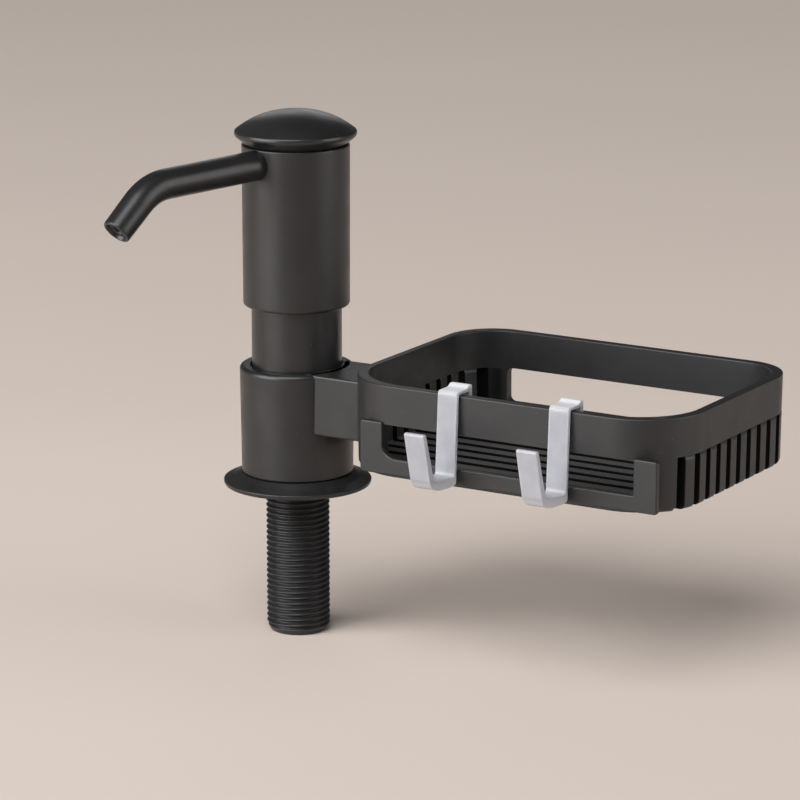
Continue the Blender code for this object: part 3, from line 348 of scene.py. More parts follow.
# ------------------------------------------------------------------ flange gasket
# A flat rubber ring in a groove under the flange, punched from sheet. It seals the
# hole in the counter and is held there by the nut's pull.
def plain_rubber(name):
    """Matt black rubber: dull, with a dusty bloom in patches and a fine pitted skin."""
    finish, place = new_finish(name)
    bloom = noise(finish, place["Object"], 160.0, 6.0)
    pits = add(finish, "TexVoronoi", {"Vector": place["Object"], "Scale": 1500.0})["Distance"]
    shade(finish, {
        "Base Color": ramp(finish, bloom, (0.016, 0.016, 0.017), (0.045, 0.044, 0.042), 0.35, 0.75),
        "Roughness": spread(finish, bloom, 0.0, 1.0, 0.62, 0.85),
        "Normal": lifted(finish, pits, 0.25, 0.0001)})
    return finish


rubber = plain_rubber("gasket_rubber")
GASKET_BORE = 0.0193
gasket_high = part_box("flange_gasket")[1]
gasket = skin("flange_gasket_ring", [(revolved(rounded(
    [(GASKET_BORE, 0.0), (gasket_high[0], 0.0), (gasket_high[0], gasket_high[2]),
     (GASKET_BORE, gasket_high[2])],
    0.0002, 3, 0.0001)), True, True)], rubber)
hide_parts("flange_gasket")
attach(gasket, "base")

# ------------------------------------------------------------------ guide sleeve
# The smooth tube that the head slides over and the basket's ring turns on. Acetal,
# pressed onto the spigot, a shade glossier than the rest where the head polishes it.
SLEEVE_RADIUS = 0.0166
SLEEVE_BORE = 0.0147
sleeve_low, sleeve_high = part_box("guide_sleeve")
sleeve = skin("guide_sleeve_tube", [(revolved(rounded(
    [(SLEEVE_BORE, sleeve_low[2]), (SLEEVE_RADIUS, sleeve_low[2]), (SLEEVE_RADIUS, sleeve_high[2]),
     (SLEEVE_BORE, sleeve_high[2])], [0.0003, 0.0003, 0.0006, 0.0003], 4)), True, True)],
    moulded_black("satin_black_sleeve", grain=0.4, gloss=0.31, tone=0.011, wear=0.2))
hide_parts("guide_sleeve")
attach(sleeve, "base")

# ------------------------------------------------------------------ pump engine
# Cylinder, collar, ball cage, stem, seals and balls, all inside the sleeve and the head.
# Natural polypropylene mouldings clipped together, rubber seals, and balls of stainless
# steel. The frame's own solids stay, with their real finishes.
def natural_plastic(name):
    """Unpigmented polypropylene: milky, waxy, with flow marks and a soft sheen."""
    finish, place = new_finish(name)
    flow = add(finish, "TexWave", {"Vector": place["Object"], "Scale": 22.0,
                                   "Distortion": 9.0, "Detail": 3.0})["Fac"]
    shade(finish, {
        "Base Color": ramp(finish, flow, (0.62, 0.63, 0.62), (0.76, 0.77, 0.76)),
        "Roughness": spread(finish, flow, 0.0, 1.0, 0.30, 0.42),
        "Subsurface Weight": 0.15, "Subsurface Scale": 0.002})
    return finish


def drawn_steel(name):
    """Stainless wire and balls: bright, with fine drawing lines round the axis."""
    finish, place = new_finish(name)
    stretch = add(finish, "Mapping", {"Vector": place["Object"], "Scale": (300.0, 300.0, 4000.0)})
    lines = noise(finish, stretch["Vector"], 1.0, 4.0)
    shade(finish, {
        "Base Color": ramp(finish, lines, (0.50, 0.50, 0.51), (0.68, 0.68, 0.69)),
        "Roughness": spread(finish, lines, 0.0, 1.0, 0.18, 0.34),
        "Metallic": 1.0})
    return finish


natural = natural_plastic("natural_polypropylene")
steel = drawn_steel("stainless_steel")
ENGINE = {
    natural: ("pump_cylinder", "lock_collar", "ball_retainer", "pump_stem", "head_core"),
    rubber: ("cylinder_gasket", "piston_seal", "stem_seal", "spout_seal"),
    steel: ("inlet_ball", "outlet_ball"),
}
for finish, names in ENGINE.items():
    for name in names:
        for slot in bpy.data.objects[name].material_slots:
            slot.material = finish

# ------------------------------------------------------------------ return spring
# A compression spring of round stainless wire, loose round the stem. It goes down with
# the stem.
SPRING_WIRE = 0.0005
SPRING_TURNS = 8


def spring_coil(low, high, radius, per_turn=48, around=12):
    """Grid of the wire: its middle turns about the axis and climbs evenly, low to high.

    At each step the point on the wire's skin is radius + wire * cos(b) from the axis and
    wire * sin(b) above the middle, with b going once round the wire.
    """
    along = np.linspace(0.0, 1.0, SPRING_TURNS * per_turn + 1)[:, None]
    turn = 2.0 * math.pi * SPRING_TURNS * along
    skin_turn = np.linspace(0.0, 2.0 * math.pi, around, endpoint=False)[None, :]
    reach_out = radius + SPRING_WIRE * np.cos(skin_turn)
    height = low + (high - low) * along + SPRING_WIRE * np.sin(skin_turn)
    return np.stack([reach_out * np.cos(turn), reach_out * np.sin(turn), height], axis=-1)


spring_low, spring_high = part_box("return_spring")
coil_grid = spring_coil(spring_low[2] + SPRING_WIRE, spring_high[2] - SPRING_WIRE,
                        spring_high[0] - SPRING_WIRE)
coil = skin("return_spring_coil", [(coil_grid, "flat", True)], steel)
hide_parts("return_spring")
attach(coil, "plunger")
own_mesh(coil)

# ------------------------------------------------------------------ head shell
# The straight-sided skirt of the pump's head, which hides the sleeve and goes down
# with each press. Satin black ABS with a rolled lower lip, glued round the core.
HEAD_TOP = 0.1270
HEAD_BORE = 0.0172
HEAD_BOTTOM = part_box("head_shell")[0][2]
shell = skin("head_shell_skirt", [(revolved(rounded(
    [(HEAD_BORE, HEAD_BOTTOM), (0.0196, HEAD_BOTTOM), (0.01976, HEAD_TOP), (HEAD_BORE, HEAD_TOP)],
    [0.0005, 0.0014, 0.0004, 0.0002], 7), 192), True, True)], column_black)
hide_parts("head_shell")
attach(shell, "head")

# ------------------------------------------------------------------ domed cap
# The pad that a palm presses: a low dome with a rolled rim over a narrow neck, which
# leaves a dark line above the shell. ABS, plugged into the shell and glued.
CAP_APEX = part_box("dome_cap")[1][2]


def blend_curve(points, per_span=8):
    """Catmull-Rom curve: through every point, its slope there half the chord beside it."""
    points = np.asarray(points, dtype=float)
    framed = np.vstack([2 * points[0] - points[1], points, 2 * points[-1] - points[-2]])
    a, b, c, d = framed[:-3], framed[1:-2], framed[2:-1], framed[3:]
    t = (np.arange(per_span) / per_span)[:, None, None]
    curve = 0.5 * (2 * b + (c - a) * t + (2 * a - 5 * b + 4 * c - d) * t ** 2
                   + (3 * b - a - 3 * c + d) * t ** 3)
    return np.vstack([curve.transpose(1, 0, 2).reshape(-1, points.shape[1]), points[-1:]])


def cap_outline():
    """(radius, height) of the cap: neck, rolled rim, dome, hollow underneath.

    The dome is fuller than a sphere: its height above the rim's inner edge is
    rise * (1 - (radius / edge)^2.35).
    """
    edge, edge_height = 0.0212, 0.13275
    rise = CAP_APEX - edge_height
    radius = edge * np.sin(np.linspace(math.pi / 2.0, 0.0, 34))
    dome = np.stack([radius, edge_height + rise * (1.0 - (radius / edge) ** 2.35)], axis=-1)
    rim = blend_curve([(0.0196, 0.1279), (0.0206, 0.1288), (0.0216, 0.12965), (0.0222, 0.1303),
                       (0.02236, 0.1311), (0.02215, 0.1320), (edge, edge_height)], 6)[:-1]
    neck = [(0.0145, 0.1266), (0.0169, 0.1266), (0.0169, 0.1273), (0.0188, 0.1273),
            (0.0190, 0.1274), (0.0190, 0.1276), (0.0193, 0.1278)]
    hollow = [(0.0, 0.1335), (0.0130, 0.1325), (0.0145, 0.1318)]
    return np.vstack([neck, rim, dome, hollow])


cap = skin("dome_cap_pad", [(revolved(cap_outline(), 192), True, True)],
           moulded_black("satin_black_cap", gloss=0.33, tone=0.012))
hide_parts("dome_cap")
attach(cap, "head")

# ------------------------------------------------------------------ spout
# A bent tube that pours beyond the sink's edge, pushed into the head's side and
# sealed there. Extruded and bent ABS tube with a turned end that holds a short liner.
SPOUT_HEADING = math.radians(-105.0)
SPOUT_RADIUS = 0.0055
SPOUT_TIP_RADIUS = 0.0053
SPOUT_ROOT_HEIGHT = 0.1218
SPOUT_START = 0.0184           # inside the head shell's wall
SPOUT_BORE = 0.0033
SPOUT_FALL = math.radians(1.5)
SPOUT_TIP_FALL = math.radians(41.5)
BEND_START = 0.0623
BEND_RADIUS = 0.0205
TIP_LENGTH = 0.0138
SPOUT_ALONG = np.array([math.cos(SPOUT_HEADING), math.sin(SPOUT_HEADING), 0.0])
SPOUT_ACROSS = np.array([-SPOUT_ALONG[1], SPOUT_ALONG[0], 0.0])


def spout_line(distance):
    """Points and headings on the spout's centre line, by distance run from the axis.

    Straight at the first fall, then a circular bend whose fall grows evenly with the
    distance, then straight at the tip's fall.
    """
    distance = np.asarray(distance, dtype=float)
    straight = BEND_START / math.cos(SPOUT_FALL)
    bend = BEND_RADIUS * (SPOUT_TIP_FALL - SPOUT_FALL)
    turned = np.clip((distance - straight) / BEND_RADIUS, 0.0, bend / BEND_RADIUS) + SPOUT_FALL
    first = np.minimum(distance, straight)
    last = np.maximum(distance - straight - bend, 0.0)
    along = (first * math.cos(SPOUT_FALL) + BEND_RADIUS * (np.sin(turned) - math.sin(SPOUT_FALL))
             + last * math.cos(SPOUT_TIP_FALL))
    drop = (first * math.sin(SPOUT_FALL) + BEND_RADIUS * (math.cos(SPOUT_FALL) - np.cos(turned))
            + last * math.sin(SPOUT_TIP_FALL))
    points = along[:, None] * SPOUT_ALONG + (SPOUT_ROOT_HEIGHT - drop)[:, None] * [0.0, 0.0, 1.0]
    headings = np.cos(turned)[:, None] * SPOUT_ALONG - np.sin(turned)[:, None] * [0.0, 0.0, 1.0]
    return points, headings


def along_spout(distance, radius, sides=72):
    """Grid of circles of the given radii, square to the spout's centre line."""
    points, headings = spout_line(distance)
    upward = np.cross(SPOUT_ACROSS, headings)
    turn = 2.0 * math.pi * np.arange(sides) / sides
    ring = np.cos(turn)[:, None] * SPOUT_ACROSS + np.sin(turn)[:, None] * upward[:, None, :]
    return points[:, None, :] + np.asarray(radius)[:, None, None] * ring


SPOUT_END = (BEND_START / math.cos(SPOUT_FALL) + BEND_RADIUS * (SPOUT_TIP_FALL - SPOUT_FALL)
             + TIP_LENGTH)
bend_end = SPOUT_END - TIP_LENGTH
LIP = 0.0006
MOUTH_RADIUS = 0.0042
run = np.concatenate([np.linspace(SPOUT_START, BEND_START, 12),
                      np.linspace(BEND_START, bend_end, 30)[1:],
                      np.linspace(bend_end, SPOUT_END - 0.0007, 8)[1:]])
girth = np.interp(run, [bend_end, SPOUT_END], [SPOUT_RADIUS, SPOUT_TIP_RADIUS])
lip = np.array([(SPOUT_END - LIP + LIP * math.sin(a), SPOUT_TIP_RADIUS - LIP + LIP * math.cos(a))
                for a in np.linspace(0.0, math.pi / 2.0, 7)])
mouth = np.array([(SPOUT_END, 0.0044), (SPOUT_END - 0.0002, MOUTH_RADIUS),
                  (SPOUT_END - 0.0112, MOUTH_RADIUS), (SPOUT_END - 0.0114, SPOUT_BORE)])
back = np.linspace(SPOUT_END - 0.0115, SPOUT_START, 40)
spout_run = np.concatenate([run, lip[:, 0], mouth[:, 0], back])
spout_girth = np.concatenate([girth, lip[:, 1], mouth[:, 1], np.full(len(back), SPOUT_BORE)])
spout = skin("spout_bend", [(along_spout(spout_run, spout_girth), True, True)],
             moulded_black("satin_black_spout", gloss=0.34, tone=0.012, wear=0.3))
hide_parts("spout_tube")
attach(spout, "head")

liner_run = SPOUT_END + np.array([-0.0014, -0.0012, -0.0012, -0.0014, -0.0110, -0.0112,
                                  -0.0112, -0.0110])
liner_girth = np.array([0.0039, 0.0037, 0.0025, 0.0023, 0.0023, 0.0025, 0.0037, 0.0039])
liner = skin("spout_liner_tube", [(along_spout(liner_run, liner_girth, 48), True, True)],
             moulded_black("dark_liner", grain=0.3, gloss=0.45, tone=0.012, wear=0.1))
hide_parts("spout_liner")
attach(liner, "head")

# ------------------------------------------------------------------ ring and arm
# The collar that turns on the sleeve, and the thick arm that carries the basket from
# it. Glass-filled nylon, moulded in one, the arm's top level with the collar's.
RING_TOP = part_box("bracket_ring")[1][2]
RING_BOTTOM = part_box("bracket_ring")[0][2]
ARM_BOTTOM = 0.0225
ARM_HALF_WIDTH = 0.0135
ARM_START = 0.0187             # in the collar's wall
BASKET_LEFT, BASKET_FRONT, BASKET_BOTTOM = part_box("basket")[0]
BASKET_RIGHT, BASKET_BACK, BASKET_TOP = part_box("basket")[1]
CORNER_FRONT = 0.0242
CORNER_REAR = 0.0190


def arm_surface():
    """Grid of the arm: a rounded block run from inside the collar's wall to the basket.

    At each depth y the run goes from sqrt(r^2 - y^2), inside the collar's wall, to the
    basket's left face at that depth, so both ends follow what they are joined to. Each
    end closes to its middle point, and the inner one's lies hidden inside the sleeve.
    """
    section = rounded([(-ARM_HALF_WIDTH, ARM_BOTTOM), (ARM_HALF_WIDTH, ARM_BOTTOM),
                       (ARM_HALF_WIDTH, RING_TOP), (-ARM_HALF_WIDTH, RING_TOP)],
                      [0.0006, 0.0006, 0.0007, 0.0007], 5, 0.0003)
    depth = section[:, 0]
    into_corner = np.clip(BASKET_FRONT + CORNER_FRONT - depth, 0.0, None)
    face = BASKET_LEFT + CORNER_FRONT - np.sqrt(CORNER_FRONT ** 2 - into_corner ** 2)
    start = np.sqrt(ARM_START ** 2 - depth ** 2)
    share = np.linspace(0.0, 1.0, 14)[:, None]
    across = start + (face + 0.0012 - start) * share
    grid = np.stack([across, np.broadcast_to(depth, across.shape),
                     np.broadcast_to(section[:, 1], across.shape)], axis=-1)
    middle = grid.mean(axis=1, keepdims=True)
    return np.vstack([np.broadcast_to(middle[:1], grid[:1].shape), grid,
                      np.broadcast_to(middle[-1:], grid[:1].shape)])


RING_BORE = 0.0171
ring_outline = rounded([(RING_BORE, RING_BOTTOM), (0.0206, RING_BOTTOM), (0.02114, RING_TOP),
                        (RING_BORE, RING_TOP)], [0.0003, 0.0005, 0.0017, 0.0004], 7)
ring_black = moulded_black("satin_black_ring", gloss=0.35, tone=0.012)
ring = skin("swing_ring_and_arm", [(revolved(ring_outline, 176), True, True),
                                   (arm_surface(), False, True)], ring_black)
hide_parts("bracket_ring")
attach(ring, "caddy")

# ------------------------------------------------------------------ caddy basket
# An open tray with a plain band round its top and a comb of slots cut straight through
# its ends and its floor, so water drains. Glass-filled nylon in one moulding, with
# thicker corners, a little draft on the walls and a window in its back and its front.
WALL = 0.00335
CORNER_THICKENING = 0.0028
FLOOR_TOP = BASKET_BOTTOM + 0.0030
BAND_BOTTOM = BASKET_TOP - 0.0144
DRAFT = 0.00045
BOTTOM_EDGE = 0.0020
SLOT_PITCH = 0.0080
SLOT_WIDTH = 0.0033
FIRST_SLOT = BASKET_FRONT + 0.0137
SLOT_COUNT = 11
EDGE = 0.0004
FRONT_WINDOW = (0.0515, 0.1527)  # from left to right, along X
BACK_WINDOW = (0.0469, 0.1509)
FIRST_SLOT_FRONT = FIRST_SLOT - SLOT_WIDTH / 2.0
LAST_SLOT_BACK = FIRST_SLOT + (SLOT_COUNT - 1) * SLOT_PITCH + SLOT_WIDTH / 2.0


def side_offset(depth, inset):
    """How far the left wall's face stands in from the basket's left side at a depth y.

    Beyond the start of each corner the face follows its circle:
    inset + R - sqrt(R^2 - t^2), with t the distance into the corner.
    """
    thick = CORNER_THICKENING * inset / WALL
    front, rear = CORNER_FRONT - inset + thick, CORNER_REAR - inset + thick
    into_front = np.clip(BASKET_FRONT + inset + front - depth, 0.0, front)
    into_rear = np.clip(depth - (BASKET_BACK - inset - rear), 0.0, rear)
    return (inset + front - np.sqrt(front ** 2 - into_front ** 2)
            + rear - np.sqrt(rear ** 2 - into_rear ** 2))


def distance_along(path):
    """How far each point of a path lies from its start: the running sum of its steps."""
    return np.concatenate([[0.0], np.cumsum(np.linalg.norm(np.diff(path, axis=0), axis=1))])


def basket_path(inset, front_end, back_end, count=150):
    """Points of the outline at an inset, from left to right past one end of the basket.

    For the front, it runs from depth `front_end` on the left, round both corners, to
    the same depth on the right; the back is the same turned about. Corners are quarter
    circles of the corner's radius less the inset, plus the thickening of the wall.
    """
    share = np.asarray(inset) / WALL
    is_front = front_end is not None
    radius = (CORNER_FRONT if is_front else CORNER_REAR) - inset + CORNER_THICKENING * share
    left, right = BASKET_LEFT + inset, BASKET_RIGHT - inset
    edge = BASKET_FRONT + inset if is_front else BASKET_BACK - inset
    sign = 1.0 if is_front else -1.0
    middle_depth = edge + sign * radius
    end = front_end if is_front else back_end
    straight = max(sign * (end - middle_depth), 0.0)
    cut = math.asin(min(max(sign * (middle_depth - end), 0.0) / radius, 1.0))
    side = np.linspace(straight, 0.0, 8)[:-1] if straight > 0 else np.zeros(0)
    turn = np.linspace(cut, math.pi / 2.0, 40)
    start = np.stack([np.full(len(side), left), middle_depth + sign * side], axis=-1)
    bend = np.stack([left + radius - radius * np.cos(turn),
                     middle_depth - sign * radius * np.sin(turn)], axis=-1)
    half = np.vstack([start, bend])
    mirrored = np.stack([left + right - half[::-1, 0], half[::-1, 1]], axis=-1)
    run = np.linspace(half[-1], mirrored[0], 42)[1:-1]
    path = np.vstack([half, run, mirrored])
    steps = distance_along(path)
    even = np.linspace(0.0, steps[-1], count)
    return np.stack([np.interp(even, steps, path[:, 0]), np.interp(even, steps, path[:, 1])], axis=-1)


def lean(height):
    """Draft of the walls: how far they stand in at a height, nothing at the top."""
    return DRAFT * (BASKET_TOP - height) / (BASKET_TOP - BASKET_BOTTOM)


def closed_path(inset, count_corner=28):
    """The whole outline at an inset, anticlockwise, as four quarter circles."""
    thick = CORNER_THICKENING * inset / WALL
    front, rear = CORNER_FRONT - inset + thick, CORNER_REAR - inset + thick
    left, right = BASKET_LEFT + inset, BASKET_RIGHT - inset
    low, high = BASKET_FRONT + inset, BASKET_BACK - inset
    arcs = []
    for x, y, radius, start in ((left + front, low + front, front, math.pi),
                                (right - front, low + front, front, 1.5 * math.pi),
                                (right - rear, high - rear, rear, 0.0),
                                (left + rear, high - rear, rear, 0.5 * math.pi)):
        angle = start + np.linspace(0.0, math.pi / 2.0, count_corner)
        arcs.append(np.stack([x + radius * np.cos(angle), y + radius * np.sin(angle)], axis=-1))
    return np.vstack(arcs)


def band_surface():
    """Grid of the plain band: a rounded wall section carried round the outline."""
    section = rounded([(0.0, BAND_BOTTOM), (0.0, BASKET_TOP), (WALL, BASKET_TOP),
                       (WALL, BAND_BOTTOM)], [0.00005, 0.0005, 0.0005, 0.00005], 5, 0.00005)
    rows = []
    for inset, height in section:
        path = closed_path(inset + lean(height) * (1.0 if inset < WALL / 2 else 0.0))
        rows.append(np.column_stack([path, np.full(len(path), height)]))
    return np.stack(rows)


def windowed_wall(front, window_left, window_right, sill, window_radius):
    """Grid of an end wall below the band, with a rounded window through it.

    Loops of matched points run round the wall. They pass from the outer border to the
    window on the outer face, through the window, back over the inner face, and round
    the border's edge: a closed ring. A loop's points are (run, height), and the run is
    read along the basket's outline at the depth of each loop.
    """
    end = FIRST_SLOT_FRONT if front else None
    back_end = None if front else LAST_SLOT_BACK

    def across(inset, run):
        """X and Y on the outline at an inset, with the jambs at runs of 0.2 and 0.8."""
        path = basket_path(inset, end, back_end, 400)
        steps = distance_along(path)
        jambs = np.interp([window_left, window_right], path[:, 0], steps)
        reach = np.interp(run, [0.0, 0.2, 0.8, 1.0], [0.0, jambs[0], jambs[1], steps[-1]])
        return np.interp(reach, steps, path[:, 0]), np.interp(reach, steps, path[:, 1])

    def loop(run_low, run_high, low, high, run_radius, height_radius):
        corner = np.linspace(0.0, math.pi / 2.0, 7)
        quarter = np.stack([1.0 - np.sin(corner), 1.0 - np.cos(corner)], axis=-1)[::-1]
        size = np.array([run_radius, height_radius])
        low_left = np.array([run_low, low]) + quarter * size
        low_right = np.array([run_high, low]) + quarter[::-1] * size * [-1, 1]
        high_right = np.array([run_high, high]) + quarter * size * [-1, -1]
        high_left = np.array([run_low, high]) + quarter[::-1] * size * [1, -1]
        share = np.linspace(0.0, 1.0, 90)[1:-1, None]
        short = np.linspace(0.0, 1.0, 14)[1:-1, None]
        return np.vstack([
            low_left, low_left[-1] + (low_right[0] - low_left[-1]) * share,
            low_right, low_right[-1] + (high_right[0] - low_right[-1]) * short,
            high_right, high_right[-1] + (high_left[0] - high_right[-1]) * share,
            high_left, high_left[-1] + (low_left[0] - high_left[-1]) * short])

    length = (window_right - window_left) / 0.6
    border = loop(0.0, 1.0, BASKET_BOTTOM, BAND_BOTTOM + 0.00006, 1e-5, 1e-5)
    opening = loop(0.2, 0.8, sill, BAND_BOTTOM + 0.00003, window_radius / length, window_radius)
    spread = np.concatenate([[0.0, 0.004], np.linspace(0.02, 0.97, 22), [0.99]])
    face = border + (opening - border) * spread[:, None, None]
    depth_of_turn = EDGE * (1.0 - np.cos(np.linspace(0.0, math.pi / 2.0, 4)))
    side_of_turn = EDGE * (1.0 - np.sin(np.linspace(0.0, math.pi / 2.0, 4)))
    gap = np.linalg.norm((border - opening) * [length, 1.0], axis=1, keepdims=True)
    outward = (border - opening) / np.maximum(gap, 1e-9)
    lip = opening + outward * side_of_turn[:, None, None]
    loops = np.concatenate([face, lip, lip[::-1], face[::-1], border[None], border[None]])
    depths = np.concatenate([np.zeros(len(face)), depth_of_turn, WALL - depth_of_turn[::-1],
                             np.full(len(face), WALL), [WALL - 0.00025, 0.00025]])
    run, height = loops[..., 0], loops[..., 1]
    share = (depths / WALL)[:, None]
    outer_x, outer_y = across(0.0, run)
    inner_x, inner_y = across(WALL, run)
    x = outer_x * (1 - share) + inner_x * share
    y = outer_y * (1 - share) + inner_y * share
    under = np.clip(BASKET_BOTTOM + BOTTOM_EDGE - height, 0.0, BOTTOM_EDGE)
    tuck = (BOTTOM_EDGE - np.sqrt(BOTTOM_EDGE ** 2 - under ** 2)) * (1 - share) + lean(height)
    centre = np.array([(BASKET_LEFT + BASKET_RIGHT) / 2.0, (BASKET_FRONT + BASKET_BACK) / 2.0])
    half = np.array([(BASKET_RIGHT - BASKET_LEFT) / 2.0, (BASKET_BACK - BASKET_FRONT) / 2.0])
    x = centre[0] + (x - centre[0]) * (1.0 - tuck / half[0])
    y_end = FIRST_SLOT_FRONT if front else LAST_SLOT_BACK
    y = y_end + (y - y_end) * (1.0 - tuck / abs((BASKET_FRONT if front else BASKET_BACK) - y_end))
    return np.stack([x, y, height], axis=-1)


def floor_end(front):
    """Grid of the floor between an end wall and its nearest slot: a rounded slab.

    At each point of the outline the slab's section runs straight back to the slot's
    edge, so the slab narrows to nothing where the outline meets that edge.
    """
    end = FIRST_SLOT_FRONT if front else LAST_SLOT_BACK
    path = basket_path(0.0012, end if front else None, None if front else end, 140)
    reach = end - path[:, 1]
    section = rounded([(0.0, 0.0), (1.0, 0.0), (1.0, 1.0), (0.0, 1.0)],
                      [0.02, 0.04, 0.04, 0.02], 4, 0.02)
    height = BASKET_BOTTOM + 0.00002 + (FLOOR_TOP - BASKET_BOTTOM) * section[:, 1]
    y = path[:, 1:2] + reach[:, None] * section[:, 0]
    x = np.broadcast_to(path[:, :1], y.shape)
    return np.stack([x, y, np.broadcast_to(height, y.shape)], axis=-1)


def rib_surface(low, high):
    """Grid of one rib: a rounded bar carried down the left wall, over the floor and up.

    The bar's outer line goes down the wall's outer face, round the bottom edge, and
    along the underside; its inner line does the same on the inner faces. Each point
    of the section lies between those two lines, at its own depth y.
    """
    section = rounded([(low, 0.0), (high, 0.0), (high, WALL), (low, WALL)],
                      [0.0003, 0.0003, 0.0002, 0.0002], 4, 0.0002)
    depth, share = section[:, 0], section[:, 1] / WALL
    outer_face = side_offset(depth, 0.0)
    inner_face = side_offset(depth, WALL)
    top = BAND_BOTTOM + 0.00005
    turn = np.linspace(0.0, math.pi / 2.0, 9)[:, None]
    wall = np.concatenate([np.linspace(0.0, 0.97, 10), [1.0]])[:, None]
    outer_height = np.vstack([top + (BASKET_BOTTOM + BOTTOM_EDGE - top) * wall,
                              BASKET_BOTTOM + BOTTOM_EDGE * (1 - np.sin(turn))])
    outer_in = np.vstack([0.0 * wall, BOTTOM_EDGE * (1 - np.cos(turn))])
    fillet = 0.0008
    inner_height = np.vstack([top + (FLOOR_TOP + fillet - top) * wall,
                              FLOOR_TOP + fillet * (1 - np.sin(turn))])
    inner_in = np.vstack([0.0 * wall, fillet * (1 - np.cos(turn))])
    height = outer_height * (1 - share) + inner_height * share
    outer_x = outer_face + outer_in + lean(outer_height)
    inner_x = inner_face + inner_in + lean(inner_height)
    x = BASKET_LEFT + outer_x * (1 - share) + inner_x * share
    y = np.broadcast_to(depth, x.shape)
    left = np.stack([x, y, height], axis=-1)
    right = left[::-1] * [-1.0, 1.0, 1.0] + [BASKET_LEFT + BASKET_RIGHT, 0.0, 0.0]
    run = np.linspace(left[-1], right[0], 10)[1:-1]
    bar = np.vstack([left, run, right])
    middle = bar.mean(axis=1, keepdims=True)
    return np.vstack([np.broadcast_to(middle[:1], bar[:1].shape), bar,
                      np.broadcast_to(middle[-1:], bar[:1].shape)])


basket_grids = [(band_surface(), True, True),
                (windowed_wall(True, *FRONT_WINDOW, FLOOR_TOP, 0.0004), True, True),
                (windowed_wall(False, *BACK_WINDOW, FLOOR_TOP + 0.0030, 0.0022), True, True),
                (floor_end(True), False, True), (floor_end(False), False, True)]
for number in range(SLOT_COUNT - 1):
    rib_low = FIRST_SLOT + number * SLOT_PITCH + SLOT_WIDTH / 2.0
    basket_grids.append((rib_surface(rib_low, rib_low + SLOT_PITCH - SLOT_WIDTH), False, True))
# the slots' sides below the band get painted shade
basket_black = moulded_black("satin_black_basket", gloss=0.42, tone=0.013,
                             paler_tops_below=FLOOR_TOP + 0.0005,
                             shaded_recess=(BASKET_FRONT + 0.0045, BASKET_BACK - 0.0045, BAND_BOTTOM))
basket = skin("caddy_basket", basket_grids, basket_black)
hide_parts("basket")
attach(basket, "caddy")

# ------------------------------------------------------------------ front plate
# A flat U-shaped plate across the basket's front: a pad at each end and a rail below,
# standing a little proud. Same nylon, clipped into a shallow pocket in the wall.
PLATE_LEFT, PLATE_FACE, PLATE_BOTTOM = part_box("front_plate")[0]
PLATE_RIGHT, PLATE_BACK, PLATE_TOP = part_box("front_plate")[1]
PAD_WIDTH = 0.0092
RAIL_TOP = PLATE_BOTTOM + 0.0055
plate_outline = rounded(
    [(PLATE_LEFT, PLATE_BOTTOM - 0.0005), (PLATE_RIGHT, PLATE_BOTTOM - 0.0003),
     (PLATE_RIGHT, PLATE_TOP), (PLATE_RIGHT - PAD_WIDTH, PLATE_TOP), (PLATE_RIGHT - PAD_WIDTH, RAIL_TOP),
     (PLATE_LEFT + PAD_WIDTH + 0.0042, RAIL_TOP), (PLATE_LEFT + PAD_WIDTH, RAIL_TOP + 0.0024),
     (PLATE_LEFT + PAD_WIDTH, PLATE_TOP), (PLATE_LEFT, PLATE_TOP)],
    [0.0010, 0.0010, 0.0010, 0.0009, 0.0006, 0.0060, 0.0030, 0.0009, 0.0010], 8, 0.0004)


def plate_loops(outline, edge=0.00045):
    """Grid of the plate: loops of its outline, over a rounded edge from face to face.

    Round each edge the inset is edge * (1 - sin(a)) and the depth edge * (1 - cos(a)).
    """
    ahead = np.roll(outline, -1, axis=0) - np.roll(outline, 1, axis=0)
    ahead = ahead / np.linalg.norm(ahead, axis=1, keepdims=True)
    inward = np.stack([-ahead[:, 1], ahead[:, 0]], axis=-1)
    turn = np.linspace(0.0, math.pi / 2.0, 5)
    move = np.concatenate([[edge * 1.5], edge * (1 - np.sin(turn))])
    depth = np.concatenate([[0.0], edge * (1 - np.cos(turn))])
    inset = np.concatenate([move, move[::-1]])
    place = np.concatenate([PLATE_FACE + depth, PLATE_BACK - depth[::-1]])
    loops = outline + inward * inset[:, None, None]
    return np.stack([loops[..., 0], np.broadcast_to(place[:, None], loops.shape[:2]),
                     loops[..., 1]], axis=-1)


plate = skin("front_plate_panel", [(plate_loops(plate_outline), "flat", True)],
             moulded_black("satin_black_plate", gloss=0.40, tone=0.013, wear=0.0))
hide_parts("front_plate")
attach(plate, "caddy")

# ------------------------------------------------------------------ hooks
# Two equal hooks that hang over the rim and slide along it, each a flat strip with an
# upturned leg. Moulded frosted polycarbonate, springy enough to clip over the rim.
HOOK_HALF = 0.0040


